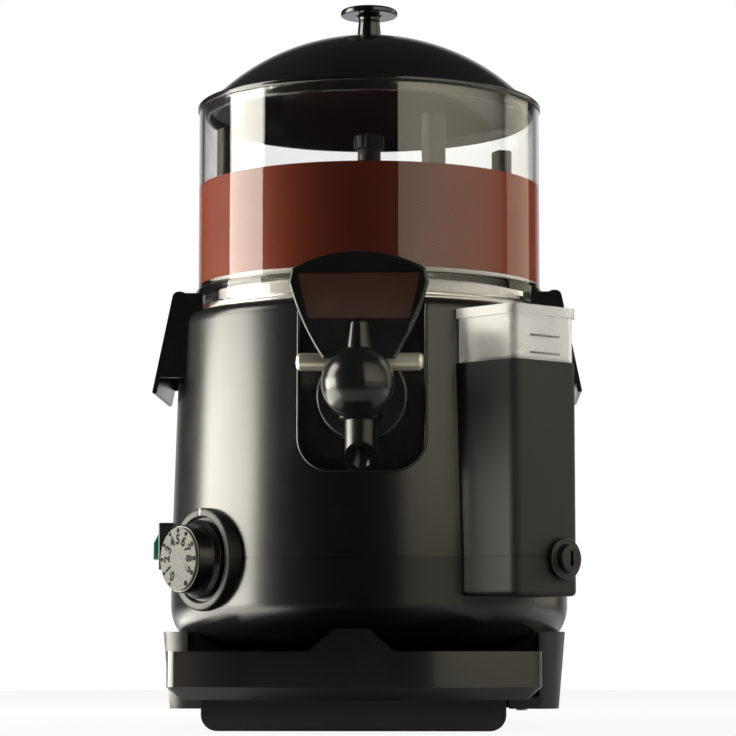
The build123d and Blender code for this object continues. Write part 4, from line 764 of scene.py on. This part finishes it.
# %% Lamp helper
def soft_box(
    name, azimuth, distance, height, width, tall, watts, faces=None, drop=0.0, fan=180.0,
    colour=(1.0, 1.0, 1.0), mirrored=True, lights=True,
):
    """A rectangular lamp on a circle round the object, square to an azimuth, looking down by a slope."""
    bpy.ops.object.light_add(type="AREA")
    lamp = bpy.context.object
    lamp.name = name
    lamp.data.shape = "RECTANGLE"
    lamp.data.size = width
    lamp.data.size_y = tall
    lamp.data.energy = watts
    lamp.data.spread = math.radians(fan)
    lamp.data.color = colour
    turn = math.radians(azimuth)
    lamp.location = (distance * math.sin(turn), -distance * math.cos(turn), height)
    turn = math.radians(azimuth if faces is None else faces)
    look = Vector((-math.sin(turn), math.cos(turn), -drop))
    lamp.rotation_euler = look.to_track_quat("-Z", "Y").to_euler()
    lamp.visible_glossy = mirrored
    lamp.visible_transmission = mirrored
    lamp.visible_diffuse = lights
    lamp.visible_camera = False
    print(name, watts, "W")


# %% Mirrored panels
left = {"azimuth": -85.0, "colour": (1.0, 0.97, 0.86), "lights": False}
right = {"colour": (1.0, 0.94, 0.72), "lights": False}
wide = {"azimuth": 89.5, "distance": 1.54, "width": 3.06, "faces": 40.0, "fan": 130.0, **right}
soft_box("left_low_box", distance=1.095, height=0.20, width=0.87, tall=0.40, watts=17.2, **left)
soft_box("left_strip", distance=1.095, height=0.775, width=0.60, tall=0.75, watts=13.2, **left)
soft_box("left_floor_box", distance=0.50, height=0.004, width=0.60, tall=0.60, watts=6.0, drop=-60.0, **left)
soft_box("right_box", height=0.92, tall=1.46, watts=13.7, **wide)
soft_box("right_low_box", height=0.055, tall=0.10, watts=0.6, **wide)
soft_box(
    "right_rear_box", azimuth=119.0, distance=1.50, height=0.85, width=0.80, tall=1.60, watts=4.6, **right
)

# %% Lighting lamps
soft_box("left_side", -100.0, 1.10, 0.40, width=0.50, tall=0.60, watts=25.0, mirrored=False)
soft_box("right_side", 98.0, 1.10, 0.45, width=0.60, tall=0.60, watts=14.0, mirrored=False)
soft_box("top_box", -20.0, 0.5, 1.5, width=0.9, tall=0.9, watts=4.0, drop=2.5, mirrored=False)
soft_box("front_fill", 10.0, 2.2, 1.2, width=1.2, tall=0.8, watts=1.7, drop=0.43, mirrored=False)
soft_box("tap_snoot", 0.0, 1.30, 0.205, width=0.05, tall=0.05, watts=0.005, fan=5.0, mirrored=False)

# %% [markdown]
# ## Camera
#
# The photograph was taken from low down, almost at the table, and a little to the right. Its place
# was worked out from the handles, the tray, the lid and the base. A long lens that far away keeps the
# sides nearly parallel, as they are there.

# %% Camera
view_azimuth, view_distance, view_height, view_pitch = 2.1, 1.760, 0.042, 5.96
sensor_width, lens, sideways_shift = 36.0, 134.5, -0.0016
bpy.ops.object.camera_add()
camera = bpy.context.object
turn = math.radians(view_azimuth)
camera.location = (view_distance * math.sin(turn), -view_distance * math.cos(turn), view_height)
camera.rotation_euler = (math.radians(90.0 + view_pitch), 0.0, turn)
camera.data.sensor_width = sensor_width
camera.data.lens = lens
camera.data.shift_x = sideways_shift
bpy.context.scene.camera = camera
bpy.context.scene.view_settings.view_transform = "Standard"
bpy.ops.object.select_all(action="DESELECT")
print("camera at", tuple(camera.location))
